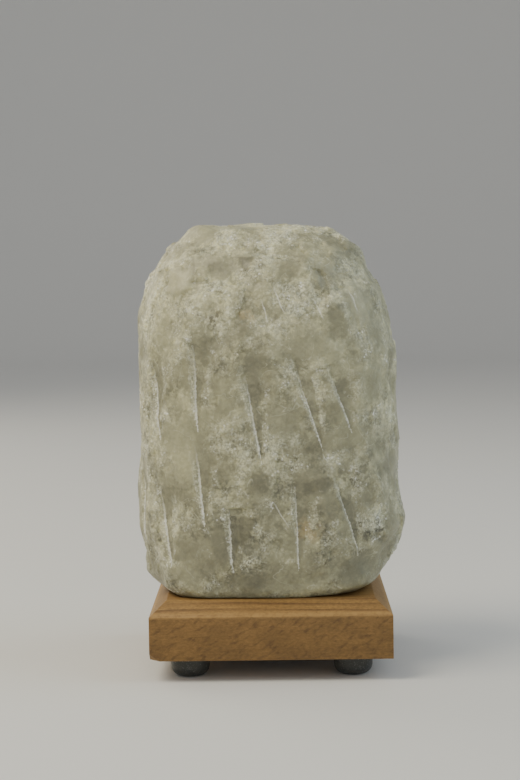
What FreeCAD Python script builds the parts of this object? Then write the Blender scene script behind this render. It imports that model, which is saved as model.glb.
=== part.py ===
"""Rock crystal lamp: a hewn block of rock on a square wooden base, lit from inside.

The frame: millimetres, +Z up, front towards -Y. The origin is on the surface that the feet stand on,
under the middle of the base.
"""
import FreeCAD, Part
import Sketcher
import math
import os
import re
from FreeCAD import Placement, Rotation, Vector

NODE_FOLDER = "parts"

# Each size with its own name: alias, millimetres (or a count), what it is.
SIZES = [
    # wooden base
    ("base_side", 100, "side of the square base"),
    ("base_thickness", 24, "thickness of the base"),
    ("bevel_run", 7, "how far the top bevel runs in"),
    ("bevel_rise", 6, "how far the top bevel drops"),
    ("lamp_hole_radius", 22, "hole for the lamp holder"),
    # feet
    ("foot_height", 9, "height of a foot"),
    ("foot_radius", 8.1, "radius of a foot"),
    ("foot_rounding", 4.2, "rounding of a foot's lower edge"),
    ("foot_inset", 16, "foot centre from the base's sides"),
    # rock
    ("crystal_width", 115, "width of the rock"),
    ("crystal_depth", 98, "depth of the rock, front to back"),
    ("crystal_height", 155, "height of the rock"),
    ("crystal_shift", 0.5, "rock's middle to the right of the base's middle"),
    ("hewn_unevenness", 1.1, "how far hewn corners stand in or out"),
    ("cavity_radius", 23, "bore in the rock for the lamp"),
    ("cavity_depth", 88, "depth of that bore"),
    ("mark_depth", 3.2, "depth of a chisel mark"),
    ("mark_steep_side", 2.6, "width of a chisel mark's steep side"),
    ("mark_flat_side", 7.5, "width of a chisel mark's flat side"),
    # fixing of the rock
    ("screw_circle", 32, "screws' distance from the middle"),
    ("screw_count", 4, "number of screws"),
    ("screw_length", 40, "screw under its head"),
    ("screw_core_radius", 1.5, "root of the screw thread"),
    ("screw_crest_radius", 2, "crest of the screw thread and shank"),
    ("screw_pitch", 1.8, "pitch of the screw thread"),
    ("screw_threads", 10, "number of thread ridges"),
    ("screw_head_radius", 4, "screw head"),
    ("screw_head_height", 2.6, "screw head"),
    ("screw_drive_width", 1, "width of the cross slot"),
    ("screw_drive_depth", 1.5, "depth of the cross slot"),
    ("screw_sink", 6, "how deep the head's hole goes into the base"),
    ("screw_clearance", 0.3, "around the screw in the base"),
    ("plug_radius", 3, "outer radius of a wall plug"),
    ("plug_length", 25, "length of a wall plug"),
    ("fit_gap", 0.05, "play of a push fit"),
    # lamp holder
    ("flange_radius", 25, "holder's bottom disc"),
    ("flange_thickness", 2.5, "holder's bottom disc"),
    ("flange_clearance", 0.5, "around the disc in its recess"),
    ("flush_margin", 0.5, "how far the disc lies inside its recess"),
    ("seat_gap", 0.3, "between pieces that move on each other"),
    ("sleeve_radius", 14, "holder's tube, outside"),
    ("sleeve_wall", 2, "holder's tube"),
    ("sleeve_length", 50, "holder's tube"),
    ("spigot_height", 2, "ring on the disc, inside the tube"),
    ("spigot_wall", 1.4, "ring on the disc"),
    ("inlet_radius", 3.5, "hole for the cable"),
    ("cable_margin", 0.5, "around the cable hole"),
    ("wiring_space", 16, "height under the contact carrier"),
    ("ledge_width", 1.5, "ledge that the contact carrier sits on"),
    ("ledge_height", 2, "height of that ledge"),
    ("carrier_thickness", 5, "contact carrier"),
    # springs
    ("spring_strip", 0.6, "thickness of a leaf spring"),
    ("spring_width", 8, "width of a leaf spring"),
    ("spring_foot_level", 5, "lower end of a leaf spring, above the disc"),
    ("spring_crown_level", 12, "where a leaf spring stands out most"),
    ("spring_crown_length", 3, "length of that stretch"),
    ("spring_root_level", 27, "where a leaf spring leaves the tube"),
    ("spring_top_level", 36, "upper end of a leaf spring"),
    ("spring_foot_gap", 0.8, "between a spring's lower end and the tube"),
    ("rivet_level", 32, "rivet, above the disc"),
    ("rivet_radius", 1, "rivet shank"),
    ("rivet_head_radius", 1.7, "rivet head"),
    ("rivet_head_height", 0.8, "rivet head"),
    # contacts
    ("terminal_offset", 6.5, "terminal's middle from the axis"),
    ("terminal_side", 5, "terminal block, both ways"),
    ("terminal_height", 8, "terminal block"),
    ("wire_hole_radius", 1.4, "hole for a wire in the terminal"),
    ("wire_hole_level", 4.6, "wire hole above the block's lower face"),
    ("clamp_screw_radius", 1.2, "terminal screw"),
    ("clamp_head_radius", 2.1, "terminal screw's head"),
    ("clamp_head_height", 1.5, "terminal screw's head"),
    ("contact_strip", 0.5, "thickness of the contact strips"),
    ("contact_width", 3, "width of the contact strips"),
    ("tongue_leg_offset", 2.5, "centre tongue's leg from the axis"),
    ("tongue_height", 2.7, "centre tongue above the carrier"),
    ("tongue_overhang", 1.5, "centre tongue past the axis"),
    ("side_leg_offset", 5.2, "side strip from the axis"),
    # screw shell and the bulb's cap
    ("thread_radius", 6.475, "middle of the bulb's thread"),
    ("thread_depth", 0.65, "crest to root"),
    ("thread_pitch", 2.822, "rise of the bulb's thread in a turn"),
    ("thread_turns", 4, "number of ridges"),
    ("thread_gap", 0.35, "between the bulb's thread and the shell's"),
    ("shell_wall", 0.4, "sheet of the shell"),
    ("shell_length", 23, "length of the shell"),
    ("shell_ring_bore", 4, "opening in the shell's bottom"),
    # bulb
    ("tip_radius", 2.6, "solder contact"),
    ("tip_height", 2, "solder contact"),
    ("insulator_radius", 4.6, "black glass ring"),
    ("insulator_height", 2, "black glass ring below the cap"),
    ("insulator_inset", 1, "black glass ring inside the cap"),
    ("cap_wall", 0.3, "sheet of the cap"),
    ("cap_lead", 1.5, "cap below its thread"),
    ("cap_collar_radius", 6.7, "cap's smooth upper part"),
    ("cap_length", 17, "length of the cap"),
    ("glass_radius", 11, "round part of the envelope"),
    ("glass_height", 28, "envelope above the cap"),
    ("glass_wall", 0.7, "wall of the envelope"),
    ("glass_shoulder_angle", 50, "degrees below the middle where the round part ends"),
    ("neck_radius", 5.6, "neck of the envelope"),
    ("neck_inset", 7, "neck inside the cap"),
    ("stem_radius", 1.8, "glass stem"),
    ("stem_height", 15, "glass stem"),
    ("stem_flare_height", 0.8, "rim of the stem's foot"),
    ("lead_radius", 0.25, "lead wires"),
    ("lead_spacing", 1.8, "between the lead wires in the stem"),
    ("lead_spread", 10, "between the lead wires' tops"),
    ("lead_height", 10, "lead wires above the stem"),
    ("filament_radius", 0.15, "filament"),
    ("filament_dip", 2.5, "how deep the filament's zigzag goes"),
]

# The rock's outline: share of the height, then how far it reaches to the left, right, front and back
# there, as shares of half its width or depth. Left and right come from the front view.
HEWN_PROFILE = [
    (0.000, 0.775, 0.690, 0.860, 0.850),
    (0.020, 0.875, 0.810, 0.910, 0.890),
    (0.055, 0.940, 0.880, 0.940, 0.930),
    (0.100, 0.960, 0.935, 0.965, 0.955),
    (0.180, 0.995, 0.995, 0.990, 0.980),
    (0.290, 0.990, 0.965, 1.000, 1.000),
    (0.400, 0.985, 0.965, 0.995, 0.995),
    (0.520, 0.980, 0.950, 0.990, 0.980),
    (0.645, 0.990, 0.950, 0.970, 0.975),
    (0.750, 0.980, 0.885, 0.930, 0.945),
    (0.820, 0.940, 0.850, 0.880, 0.900),
    (0.870, 0.885, 0.745, 0.810, 0.830),
    (0.915, 0.785, 0.695, 0.710, 0.730),
    (0.950, 0.710, 0.590, 0.610, 0.630),
    (0.982, 0.550, 0.480, 0.460, 0.490),
]
HEWN_FACETS = 24
HEWN_SQUARENESS = 2.6

# Chisel marks on the front: angle and share of the height at the head, then at the pointed foot.
# Angles go round from the right (0) by the back (90) and the left (180) to the front (270).
FRONT_MARKS = [
    (234, 0.655, 237, 0.440),
    (259, 0.590, 267, 0.350),
    (285, 0.600, 296, 0.390),
    (302, 0.575, 309, 0.435),
    (235, 0.395, 240, 0.190),
    (250, 0.240, 253, 0.065),
    (283, 0.285, 283, 0.070),
    (303, 0.290, 313, 0.110),
]
# The other three sides carry the same two rows, spaced evenly but for a little unevenness.
SIDE_MARK_ANGLES = range(-25, 210, 26)
SIDE_MARK_ROWS = [(0.62, 0.20), (0.30, 0.20)]
MARK_LEAN = 6


doc = FreeCAD.newDocument("rock_crystal_lamp")
sheet = doc.addObject("Spreadsheet::Sheet", "Sizes")
for row, (alias, value, meaning) in enumerate(SIZES, start=1):
    sheet.set(f"A{row}", meaning)
    sheet.set(f"B{row}", str(value))
    sheet.setAlias(f"B{row}", alias)
doc.recompute()
ALIASES = {alias for alias, value, meaning in SIZES}


# ---- helpers ---------------------------------------------------------------------------------------

def bound(text):
    """The text of a formula, with each size's name pointing at its cell."""
    def cell(match):
        return f"Sizes.{match[0]}" if match[0] in ALIASES else match[0]
    return re.sub(r"\b[a-z_]+\b", cell, str(text))


def size(text):
    """The present value of a formula of sizes."""
    return float(sheet.evalExpression(bound(text)))


def new_body(name, level="0", turn=0):
    """An empty body at this level on the axis, turned about it by so many degrees."""
    body = doc.addObject("PartDesign::Body", name)
    body.Label = name
    body.Placement = Placement(Vector(0, 0, 0), Rotation(Vector(0, 0, 1), turn))
    body.setExpression("Placement.Base.z", bound(level))
    return body


def origin_feature(body, role):
    return next(item for item in body.Origin.OriginFeatures if item.Role == role)


def new_sketch(body, plane, shift_x="0", shift_y="0"):
    """A sketch on one of the body's own planes, its origin shifted in that plane."""
    sketch = body.newObject("Sketcher::SketchObject", f"{body.Name}_sketch")
    sketch.AttachmentSupport = [(origin_feature(body, plane), "")]
    sketch.MapMode = "FlatFace"
    sketch.setExpression("AttachmentOffset.Base.x", bound(shift_x))
    sketch.setExpression("AttachmentOffset.Base.y", bound(shift_y))
    return sketch


def pin_point(sketch, edge, end, x, y):
    """Tie one end of a sketch edge to two formulas."""
    for kind, text in (("DistanceX", x), ("DistanceY", y)):
        index = sketch.addConstraint(Sketcher.Constraint(kind, edge, end, size(text)))
        sketch.setExpression(f"Constraints[{index}]", bound(text))


def outline(body, plane, points, **shift):
    """A closed sketch outline, each corner tied to its two formulas.

    A corner may have a third entry: the radius of an arc, bulging outwards, to the next corner.
    """
    sketch = new_sketch(body, plane, **shift)
    places = [Vector(size(point[0]), size(point[1]), 0) for point in points]
    for edge, point in enumerate(points):
        here = places[edge]
        there = places[(edge + 1) % len(points)]
        if len(point) == 3:
            sketch.addGeometry(arc_between(here, there, size(point[2])), False)
        else:
            sketch.addGeometry(Part.LineSegment(here, there), False)
    for edge, point in enumerate(points):
        follows = (edge + 1) % len(points)
        if len(point) == 3:
            index = sketch.addConstraint(Sketcher.Constraint("Radius", edge, abs(size(point[2]))))
            sketch.setExpression(f"Constraints[{index}]", bound(f"abs({point[2]})"))
        sketch.addConstraint(Sketcher.Constraint("Coincident", edge, last_end(points, edge),
                                                 follows, first_end(points, follows)))
        pin_point(sketch, edge, first_end(points, edge), point[0], point[1])
    return sketch


def runs_backwards(points, edge):
    """An arc of the sketch always runs anticlockwise, so a clockwise one is stored end first."""
    return len(points[edge]) == 3 and size(points[edge][2]) < 0


def first_end(points, edge):
    return 2 if runs_backwards(points, edge) else 1


def last_end(points, edge):
    return 1 if runs_backwards(points, edge) else 2


def arc_between(here, there, radius):
    """The short arc from here to there: anticlockwise for a positive radius, else clockwise."""
    chord = there - here
    middle = (here + there) * 0.5
    reach = math.sqrt(radius ** 2 - (chord.Length / 2) ** 2)
    side = Vector(-chord.y, chord.x, 0).normalize() * math.copysign(reach, radius)
    centre = middle + side
    from_angle = math.atan2(here.y - centre.y, here.x - centre.x)
    to_angle = math.atan2(there.y - centre.y, there.x - centre.x)
    if radius < 0:
        from_angle, to_angle = to_angle, from_angle
    if to_angle < from_angle:
        to_angle += 2 * math.pi
    circle = Part.Circle(centre, Vector(0, 0, 1), abs(radius))
    return Part.ArcOfCircle(circle, from_angle, to_angle)


def rings(body, plane, circles, **shift):
    """A sketch of circles: each has formulas for its centre and its radius."""
    sketch = new_sketch(body, plane, **shift)
    for edge, (x, y, radius) in enumerate(circles):
        centre = Vector(size(x), size(y), 0)
        sketch.addGeometry(Part.Circle(centre, Vector(0, 0, 1), size(radius)), False)
        index = sketch.addConstraint(Sketcher.Constraint("Radius", edge, size(radius)))
        sketch.setExpression(f"Constraints[{index}]", bound(radius))
        pin_point(sketch, edge, 3, x, y)
    return sketch


def box_points(low_x, low_y, high_x, high_y):
    return [(low_x, low_y), (high_x, low_y), (high_x, high_y), (low_x, high_y)]


def pad(body, sketch, length, symmetric=False):
    feature = body.newObject("PartDesign::Pad", f"{body.Name}_pad")
    feature.Profile = sketch
    feature.setExpression("Length", bound(length))
    feature.SideType = "Symmetric" if symmetric else "One side"
    doc.recompute()
    return feature


def pocket(body, sketch, length, upwards=True, symmetric=False):
    """Cut a sketch's outline out of the body, and make sure that it took something away."""
    before = body.Shape.Volume
    feature = body.newObject("PartDesign::Pocket", f"{body.Name}_pocket")
    feature.Profile = sketch
    feature.setExpression("Length", bound(length))
    feature.SideType = "Symmetric" if symmetric else "One side"
    feature.Reversed = upwards
    doc.recompute()
    if body.Shape.Volume >= before:
        raise RuntimeError(f"{feature.Label} cuts nothing")
    return feature


def revolve(body, sketch, axis="V_Axis"):
    feature = body.newObject("PartDesign::Revolution", f"{body.Name}_turned")
    feature.Profile = sketch
    feature.ReferenceAxis = (sketch, [axis])
    feature.Angle = 360
    doc.recompute()
    return feature


def repeat_round(body, features, count):
    """Repeat features evenly about the body's own upright axis."""
    pattern = body.newObject("PartDesign::PolarPattern", f"{body.Name}_pattern")
    pattern.Originals = features
    pattern.Axis = (origin_feature(body, "Z_Axis"), [""])
    pattern.Angle = 360
    pattern.setExpression("Occurrences", bound(count))
    body.Tip = pattern
    doc.recompute()
    return pattern


def edges_at_level(shape, level):
    """Names of the edges that lie wholly at this level."""
    names = []
    for number, edge in enumerate(shape.Edges, start=1):
        bounds = edge.BoundBox
        if abs(bounds.ZMin - level) < 1e-4 and abs(bounds.ZMax - level) < 1e-4:
            names.append(f"Edge{number}")
    return names


def zigzag(level, pitch, count, middle, depth, wall="0"):
    """Corners of a ridged wall, going up: each ridge starts and ends at its root."""
    corners = []
    for ridge in range(count):
        corners.append((f"{middle} - {depth} / 2 + {wall}", f"{level} + {ridge} * {pitch}"))
        corners.append((f"{middle} + {depth} / 2 + {wall}", f"{level} + ({ridge} + 0.5) * {pitch}"))
    corners.append((f"{middle} - {depth} / 2 + {wall}", f"{level} + {count} * {pitch}"))
    return corners


def wire_tube(points, radius):
    """A round wire through these points, with mitred bends."""
    path = Part.makePolygon(points)
    profile = Part.Wire(Part.makeCircle(radius, points[0], points[1] - points[0]))
    return path.makePipeShell([profile], True, False, 1)


def code_made(name, shape, level="0"):
    """A sub-part whose shape comes from the code below."""
    item = doc.addObject("Part::Feature", name)
    item.Label = name
    item.Shape = shape
    item.setExpression("Placement.Base.z", bound(level))
    return item


# ---- levels that several pieces share --------------------------------------------------------------

BASE_TOP = "(foot_height + base_thickness)"
FOOT_PLACE = "(base_side / 2 - foot_inset)"
RECESS_DEPTH = "(flange_thickness + seat_gap + flush_margin)"
FLANGE_UNDER = "(foot_height + flush_margin)"
SLEEVE_UNDER = f"({FLANGE_UNDER} + flange_thickness)"
SLEEVE_BORE = "(sleeve_radius - sleeve_wall)"
INLET_LEVEL = "(spigot_height + cable_margin + inlet_radius)"
GROOVE_DEPTH = f"({SLEEVE_UNDER} + {INLET_LEVEL} + inlet_radius + cable_margin - foot_height)"
CARRIER_UNDER = f"({SLEEVE_UNDER} + wiring_space)"
CARRIER_TOP = f"({CARRIER_UNDER} + carrier_thickness)"
TERMINAL_UNDER = f"({CARRIER_UNDER} - contact_strip - terminal_height)"
TIP_UNDER = f"({CARRIER_TOP} + tongue_height + seat_gap)"
CAP_UNDER = f"({TIP_UNDER} + tip_height + insulator_height)"
CAP_TOP = f"({CAP_UNDER} + cap_length)"
GLASS_UNDER = f"({CAP_TOP} - neck_inset)"
THREAD_START = f"({CAP_UNDER} + cap_lead)"
SCREW_HEAD_LEVEL = "(foot_height + screw_sink - screw_head_height)"
PLUG_BORE = "(screw_crest_radius + fit_gap)"


# ---- wooden base and feet --------------------------------------------------------------------------

def make_base():
    body = new_body("base_block", "foot_height")
    half = "base_side / 2"
    square = outline(body, "XY_Plane", box_points(f"-{half}", f"-{half}", half, half))
    block = pad(body, square, "base_thickness")

    bevel = body.newObject("PartDesign::Chamfer", "base_bevel")
    bevel.Base = (block, edges_at_level(block.Shape, size("base_thickness")))
    bevel.ChamferType = "Two distances"
    bevel.setExpression("Size", bound("bevel_run"))
    bevel.setExpression("Size2", bound("bevel_rise"))
    doc.recompute()
    top_side = size("base_side - 2 * bevel_run")
    top_area = max(face.Area for face in body.Shape.Faces
                   if face.BoundBox.ZMin > size("base_thickness") - 1e-4)
    if abs(top_area - top_side ** 2) > 1:
        bevel.FlipDirection = True
        doc.recompute()

    hole = rings(body, "XY_Plane", [("0", "0", "lamp_hole_radius")])
    pocket(body, hole, "base_thickness")
    recess = rings(body, "XY_Plane", [("0", "0", "flange_radius + flange_clearance")])
    pocket(body, recess, RECESS_DEPTH)
    groove_half = "(inlet_radius + cable_margin)"
    groove = outline(body, "XY_Plane", box_points(f"-{groove_half}", "0", groove_half, half))
    pocket(body, groove, GROOVE_DEPTH)

    corner = "screw_circle * cos(45)"
    shank = rings(body, "XY_Plane", [(corner, corner, "screw_crest_radius + screw_clearance")])
    shank_hole = pocket(body, shank, "base_thickness")
    head = rings(body, "XY_Plane", [(corner, corner, "screw_head_radius + screw_clearance")])
    head_hole = pocket(body, head, "screw_sink")
    repeat_round(body, [shank_hole, head_hole], "screw_count")
    return body


def make_feet():
    feet = []
    for row, side_y in (("front", "-"), ("back", "")):
        for column, side_x in (("left", "-"), ("right", "")):
            body = new_body(f"foot_{row}_{column}")
            body.setExpression("Placement.Base.x", bound(f"{side_x}{FOOT_PLACE}"))
            body.setExpression("Placement.Base.y", bound(f"{side_y}{FOOT_PLACE}"))
            disc = pad(body, rings(body, "XY_Plane", [("0", "0", "foot_radius")]), "foot_height")
            dome = body.newObject("PartDesign::Fillet", f"{body.Name}_dome")
            dome.Base = (disc, edges_at_level(disc.Shape, 0))
            dome.setExpression("Radius", bound("foot_rounding"))
            feet.append(body)
    return feet


# ---- rock ------------------------------------------------------------------------------------------

def unevenness(ring, column):
    """A fixed number from -1 to 1 for each corner of the hewn surface."""
    wave = math.sin(12.9898 * column + 78.233 * ring + 4.1) * 43758.5453
    return 2 * (wave - math.floor(wave)) - 1


def rock_reach(angle, share):
    """How far the rock reaches from its middle at this angle, in degrees, and share of its height."""
    for lower, upper in zip(HEWN_PROFILE, HEWN_PROFILE[1:]):
        if share <= upper[0]:
            break
    part = min(1.0, max(0.0, (share - lower[0]) / (upper[0] - lower[0])))
    left, right, front, back = (a + part * (b - a) for a, b in zip(lower[1:], upper[1:]))
    cosine = math.cos(math.radians(angle))
    sine = math.sin(math.radians(angle))
    across = size("crystal_width") / 2 * (right if cosine > 0 else left)
    along = size("crystal_depth") / 2 * (back if sine > 0 else front)
    total = abs(cosine / across) ** HEWN_SQUARENESS + abs(sine / along) ** HEWN_SQUARENESS
    return total ** (-1 / HEWN_SQUARENESS)


def rock_point(angle, share, out=0.0):
    """A point on the rock's smooth form, so far out from it."""
    radius = rock_reach(angle, share) + out
    return Vector(size("crystal_shift") + radius * math.cos(math.radians(angle)),
                  radius * math.sin(math.radians(angle)),
                  share * size("crystal_height"))


def rock_rings():
    """Corners of the hewn surface, ring by ring from the flat underside up."""
    step = 360 / HEWN_FACETS
    rows = []
    for ring, profile in enumerate(HEWN_PROFILE):
        row = []
        for column in range(HEWN_FACETS):
            angle = step * (column + 0.5 * (ring % 2))
            strength = 0 if ring == 0 else size("hewn_unevenness")
            out = strength * (unevenness(ring, column) - 0.3)
            point = rock_point(angle, profile[0], out)
            if ring:
                point.z += 0.8 * strength * unevenness(ring + 40, column)
            row.append(point)
        rows.append(row)
    return rows


def rock_skin():
    """The hewn surface as a closed solid of flat facets."""
    rows = rock_rings()
    top = Vector(size("crystal_shift"), 0, size("crystal_height"))
    triangles = []
    for ring in range(len(rows) - 1):
        lower, upper = rows[ring], rows[ring + 1]
        for column in range(HEWN_FACETS):
            after = (column + 1) % HEWN_FACETS
            if ring % 2:
                triangles.append((lower[column], lower[after], upper[after]))
                triangles.append((lower[column], upper[after], upper[column]))
            else:
                triangles.append((lower[column], lower[after], upper[column]))
                triangles.append((lower[after], upper[after], upper[column]))
    for column in range(HEWN_FACETS):
        triangles.append((rows[-1][column], rows[-1][(column + 1) % HEWN_FACETS], top))
    faces = [Part.Face(Part.makePolygon([*triangle, triangle[0]])) for triangle in triangles]
    faces.append(Part.Face(Part.makePolygon([*rows[0], rows[0][0]])))
    return Part.Solid(Part.makeShell(faces))


def chisel_mark(head_angle, head_share, foot_angle, foot_share):
    """A wedge with a straight deep edge: steep on its left, flat on its right, pointed at its foot."""
    reach = rock_reach(head_angle, head_share)
    steep = math.degrees(size("mark_steep_side") / reach)
    flat = math.degrees(size("mark_flat_side") / reach)
    clear = size("mark_depth")
    foot = rock_point(foot_angle, foot_share, 0.4)
    deep = rock_point(head_angle, head_share, -size("mark_depth"))
    left = rock_point(head_angle - 2 * steep, head_share + 0.01, clear)
    right = rock_point(head_angle + 2 * flat, head_share + 0.02, clear)
    corners = ((foot, deep, left), (foot, right, deep), (deep, right, left), (foot, left, right))
    faces = [Part.Face(Part.makePolygon([*corner, corner[0]])) for corner in corners]
    wedge = Part.Solid(Part.makeShell(faces))
    if wedge.Volume < 0:
        wedge.reverse()
    return wedge


def all_marks():
    marks = [chisel_mark(*mark) for mark in FRONT_MARKS]
    for row, (head, length) in enumerate(SIDE_MARK_ROWS):
        for number, angle in enumerate(SIDE_MARK_ANGLES):
            wander = unevenness(row + 60, number)
            middle = angle + 13 * row + MARK_LEAN * wander
            lift = 0.03 * unevenness(row + 80, number)
            marks.append(chisel_mark(middle - MARK_LEAN / 2, head + lift,
                                     middle + MARK_LEAN / 2, head + lift - length))
    return marks


def make_rock():
    hewn = rock_skin()
    for mark in all_marks():
        hewn = hewn.cut(mark)
    rough = code_made("hewn_rock", max(hewn.Solids, key=lambda solid: solid.Volume), BASE_TOP)

    cavity = doc.addObject("Part::Cylinder", "rock_cavity")
    cavity.setExpression("Radius", bound("cavity_radius"))
    cavity.setExpression("Height", bound("cavity_depth"))
    cavity.setExpression("Placement.Base.z", bound(BASE_TOP))
    cutters = [cavity]
    for number in range(int(size("screw_count"))):
        turn = f"45 + 360 * {number} / screw_count"
        hole = doc.addObject("Part::Cylinder", f"plug_hole_{number + 1}")
        hole.setExpression("Radius", bound("plug_radius + fit_gap"))
        hole.setExpression("Height", bound("plug_length + plug_radius / 2"))
        hole.setExpression("Placement.Base.x", bound(f"screw_circle * cos({turn})"))
        hole.setExpression("Placement.Base.y", bound(f"screw_circle * sin({turn})"))
        hole.setExpression("Placement.Base.z", bound(BASE_TOP))
        cutters.append(hole)
    holes = doc.addObject("Part::MultiFuse", "rock_holes")
    holes.Shapes = cutters
    rock = doc.addObject("Part::Cut", "crystal_block")
    rock.Label = "crystal_block"
    rock.Base = rough
    rock.Tool = holes
    doc.recompute()
    return rock


# ---- screws that hold the rock ---------------------------------------------------------------------

def make_plugs():
    body = new_body("wall_plugs", BASE_TOP, turn=45)
    tube = rings(body, "XY_Plane", [("screw_circle", "0", "plug_radius"),
                                    ("screw_circle", "0", PLUG_BORE)])
    repeat_round(body, [pad(body, tube, "plug_length")], "screw_count")
    return body


def make_crystal_screws():
    body = new_body("crystal_screws", SCREW_HEAD_LEVEL, turn=45)
    under_head = "screw_head_height"
    end = f"{under_head} + screw_length"
    thread_top = f"{end} - screw_pitch"
    thread_foot = f"{thread_top} - screw_threads * screw_pitch"
    ridges = zigzag(f"({thread_foot})", "screw_pitch", int(size("screw_threads")),
                    "(screw_crest_radius + screw_core_radius) / 2",
                    "(screw_crest_radius - screw_core_radius)")
    points = [("0", "0"), ("screw_head_radius * 0.8", "0"),
              ("screw_head_radius", "screw_head_height / 2"), ("screw_head_radius", under_head),
              ("screw_crest_radius", under_head),
              ("screw_crest_radius", f"{thread_foot} - screw_pitch / 2"),
              *ridges, ("0", end)]
    shaft = revolve(body, outline(body, "XZ_Plane", points, shift_x="screw_circle"))
    reach = "screw_head_radius * 0.6"
    half = "screw_drive_width / 2"
    slots = []
    for wide, high in ((reach, half), (half, reach)):
        slot = outline(body, "XY_Plane", box_points(f"-{wide}", f"-{high}", wide, high),
                       shift_x="screw_circle")
        slots.append(pocket(body, slot, "screw_drive_depth"))
    repeat_round(body, [shaft, *slots], "screw_count")
    return body


# ---- lamp holder -----------------------------------------------------------------------------------

def make_holder_cap():
    body = new_body("holder_cap", FLANGE_UNDER)
    outer = f"{SLEEVE_BORE} - fit_gap"
    inner = f"{SLEEVE_BORE} - fit_gap - spigot_wall"
    spigot_top = "flange_thickness + spigot_height"
    points = [("0", "0"), ("flange_radius", "0"), ("flange_radius", "flange_thickness"),
              (outer, "flange_thickness"), (outer, spigot_top), (inner, spigot_top),
              (inner, "flange_thickness"), ("0", "flange_thickness")]
    turned = revolve(body, outline(body, "XZ_Plane", points))
    rim = body.newObject("PartDesign::Fillet", "holder_cap_rim")
    rim.Base = (turned, edges_at_level(turned.Shape, 0))
    rim.setExpression("Radius", bound("flange_thickness / 4"))
    return body


def make_sleeve():
    body = new_body("holder_sleeve", SLEEVE_UNDER)
    ledge = f"{SLEEVE_BORE} - ledge_width"
    ledge_under = "wiring_space - ledge_height"
    points = [(SLEEVE_BORE, "0"), ("sleeve_radius", "0"), ("sleeve_radius", "sleeve_length"),
              (SLEEVE_BORE, "sleeve_length"), (SLEEVE_BORE, "wiring_space"),
              (ledge, "wiring_space"), (ledge, ledge_under), (SLEEVE_BORE, ledge_under)]
    revolve(body, outline(body, "XZ_Plane", points))
    inlet = rings(body, "XZ_Plane", [("0", INLET_LEVEL, "inlet_radius")])
    pocket(body, inlet, "sleeve_radius", upwards=False)
    rivet_holes = rings(body, "YZ_Plane", [("0", "rivet_level", "rivet_radius + fit_gap")])
    pocket(body, rivet_holes, "2 * sleeve_radius", symmetric=True)
    return body


def make_springs():
    """Two strips bent outwards: the photo hides them, the hole in the base sets how far they reach."""
    crown = ("sqrt(lamp_hole_radius ^ 2 - (spring_width / 2) ^ 2) "
             "- seat_gap - spring_strip")
    inside = [("sleeve_radius + spring_foot_gap", "spring_foot_level"),
              (crown, "spring_crown_level"),
              (crown, "spring_crown_level + spring_crown_length"),
              ("sleeve_radius", "spring_root_level"),
              ("sleeve_radius", "spring_top_level")]
    outside = [(f"{x} + spring_strip", z) for x, z in reversed(inside)]
    springs = []
    for side, turn in (("right", 0), ("left", 180)):
        body = new_body(f"holder_spring_{side}", SLEEVE_UNDER, turn)
        pad(body, outline(body, "XZ_Plane", inside + outside), "spring_width", symmetric=True)
        hole = rings(body, "YZ_Plane", [("0", "rivet_level", "rivet_radius + fit_gap")])
        pocket(body, hole, "4 * sleeve_radius", symmetric=True)
        springs.append(body)
    return springs


def make_rivets():
    body = new_body("spring_rivets", f"{SLEEVE_UNDER} + rivet_level")
    inner_face = f"sqrt({SLEEVE_BORE} ^ 2 - rivet_head_radius ^ 2)"
    outer_face = "sleeve_radius + spring_strip"
    points = [(f"{inner_face} - rivet_head_height", "0"), (f"{outer_face} + rivet_head_height", "0"),
              (f"{outer_face} + rivet_head_height", "rivet_radius"),
              (outer_face, "rivet_head_radius"), (outer_face, "rivet_radius"),
              (inner_face, "rivet_radius"), (inner_face, "rivet_head_radius"),
              (f"{inner_face} - rivet_head_height", "rivet_head_radius")]
    turned = revolve(body, outline(body, "XZ_Plane", points), axis="H_Axis")
    repeat_round(body, [turned], "2")
    return body


def make_carrier():
    body = new_body("contact_carrier", CARRIER_UNDER)
    pad(body, rings(body, "XY_Plane", [("0", "0", f"{SLEEVE_BORE} - fit_gap")]), "carrier_thickness")
    half = "(contact_width / 2 + fit_gap)"
    for low, high in (("-tongue_leg_offset - contact_strip", "-tongue_leg_offset"),
                      ("side_leg_offset", "side_leg_offset + contact_strip")):
        slot = box_points(f"{low} - fit_gap", f"-{half}", f"{high} + fit_gap", half)
        pocket(body, outline(body, "XY_Plane", slot), "carrier_thickness")
    return body


def make_shell():
    body = new_body("threaded_shell", CARRIER_TOP)
    turns = int(size("thread_turns"))
    middle = "(thread_radius + thread_gap)"
    wide = f"{middle} + thread_depth / 2"
    start = f"({THREAD_START} - {CARRIER_TOP})"
    # the shell's inside is wide where the bulb's thread has its crests
    inside = zigzag(start, "thread_pitch", turns, middle, "thread_depth")
    outside = zigzag(start, "thread_pitch", turns, middle, "thread_depth", "shell_wall")
    lead = "thread_pitch / 2"
    points = [("shell_ring_bore", "0"), (f"{wide} + shell_wall", "0"),
              (f"{wide} + shell_wall", f"{start} - {lead}"), *outside,
              (f"{wide} + shell_wall", f"{start} + {turns} * thread_pitch + {lead}"),
              (f"{wide} + shell_wall", "shell_length"), (wide, "shell_length"),
              (wide, f"{start} + {turns} * thread_pitch + {lead}"), *reversed(inside),
              (wide, f"{start} - {lead}"), (wide, "shell_wall"), ("shell_ring_bore", "shell_wall")]
    revolve(body, outline(body, "XZ_Plane", points))
    return body


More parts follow.
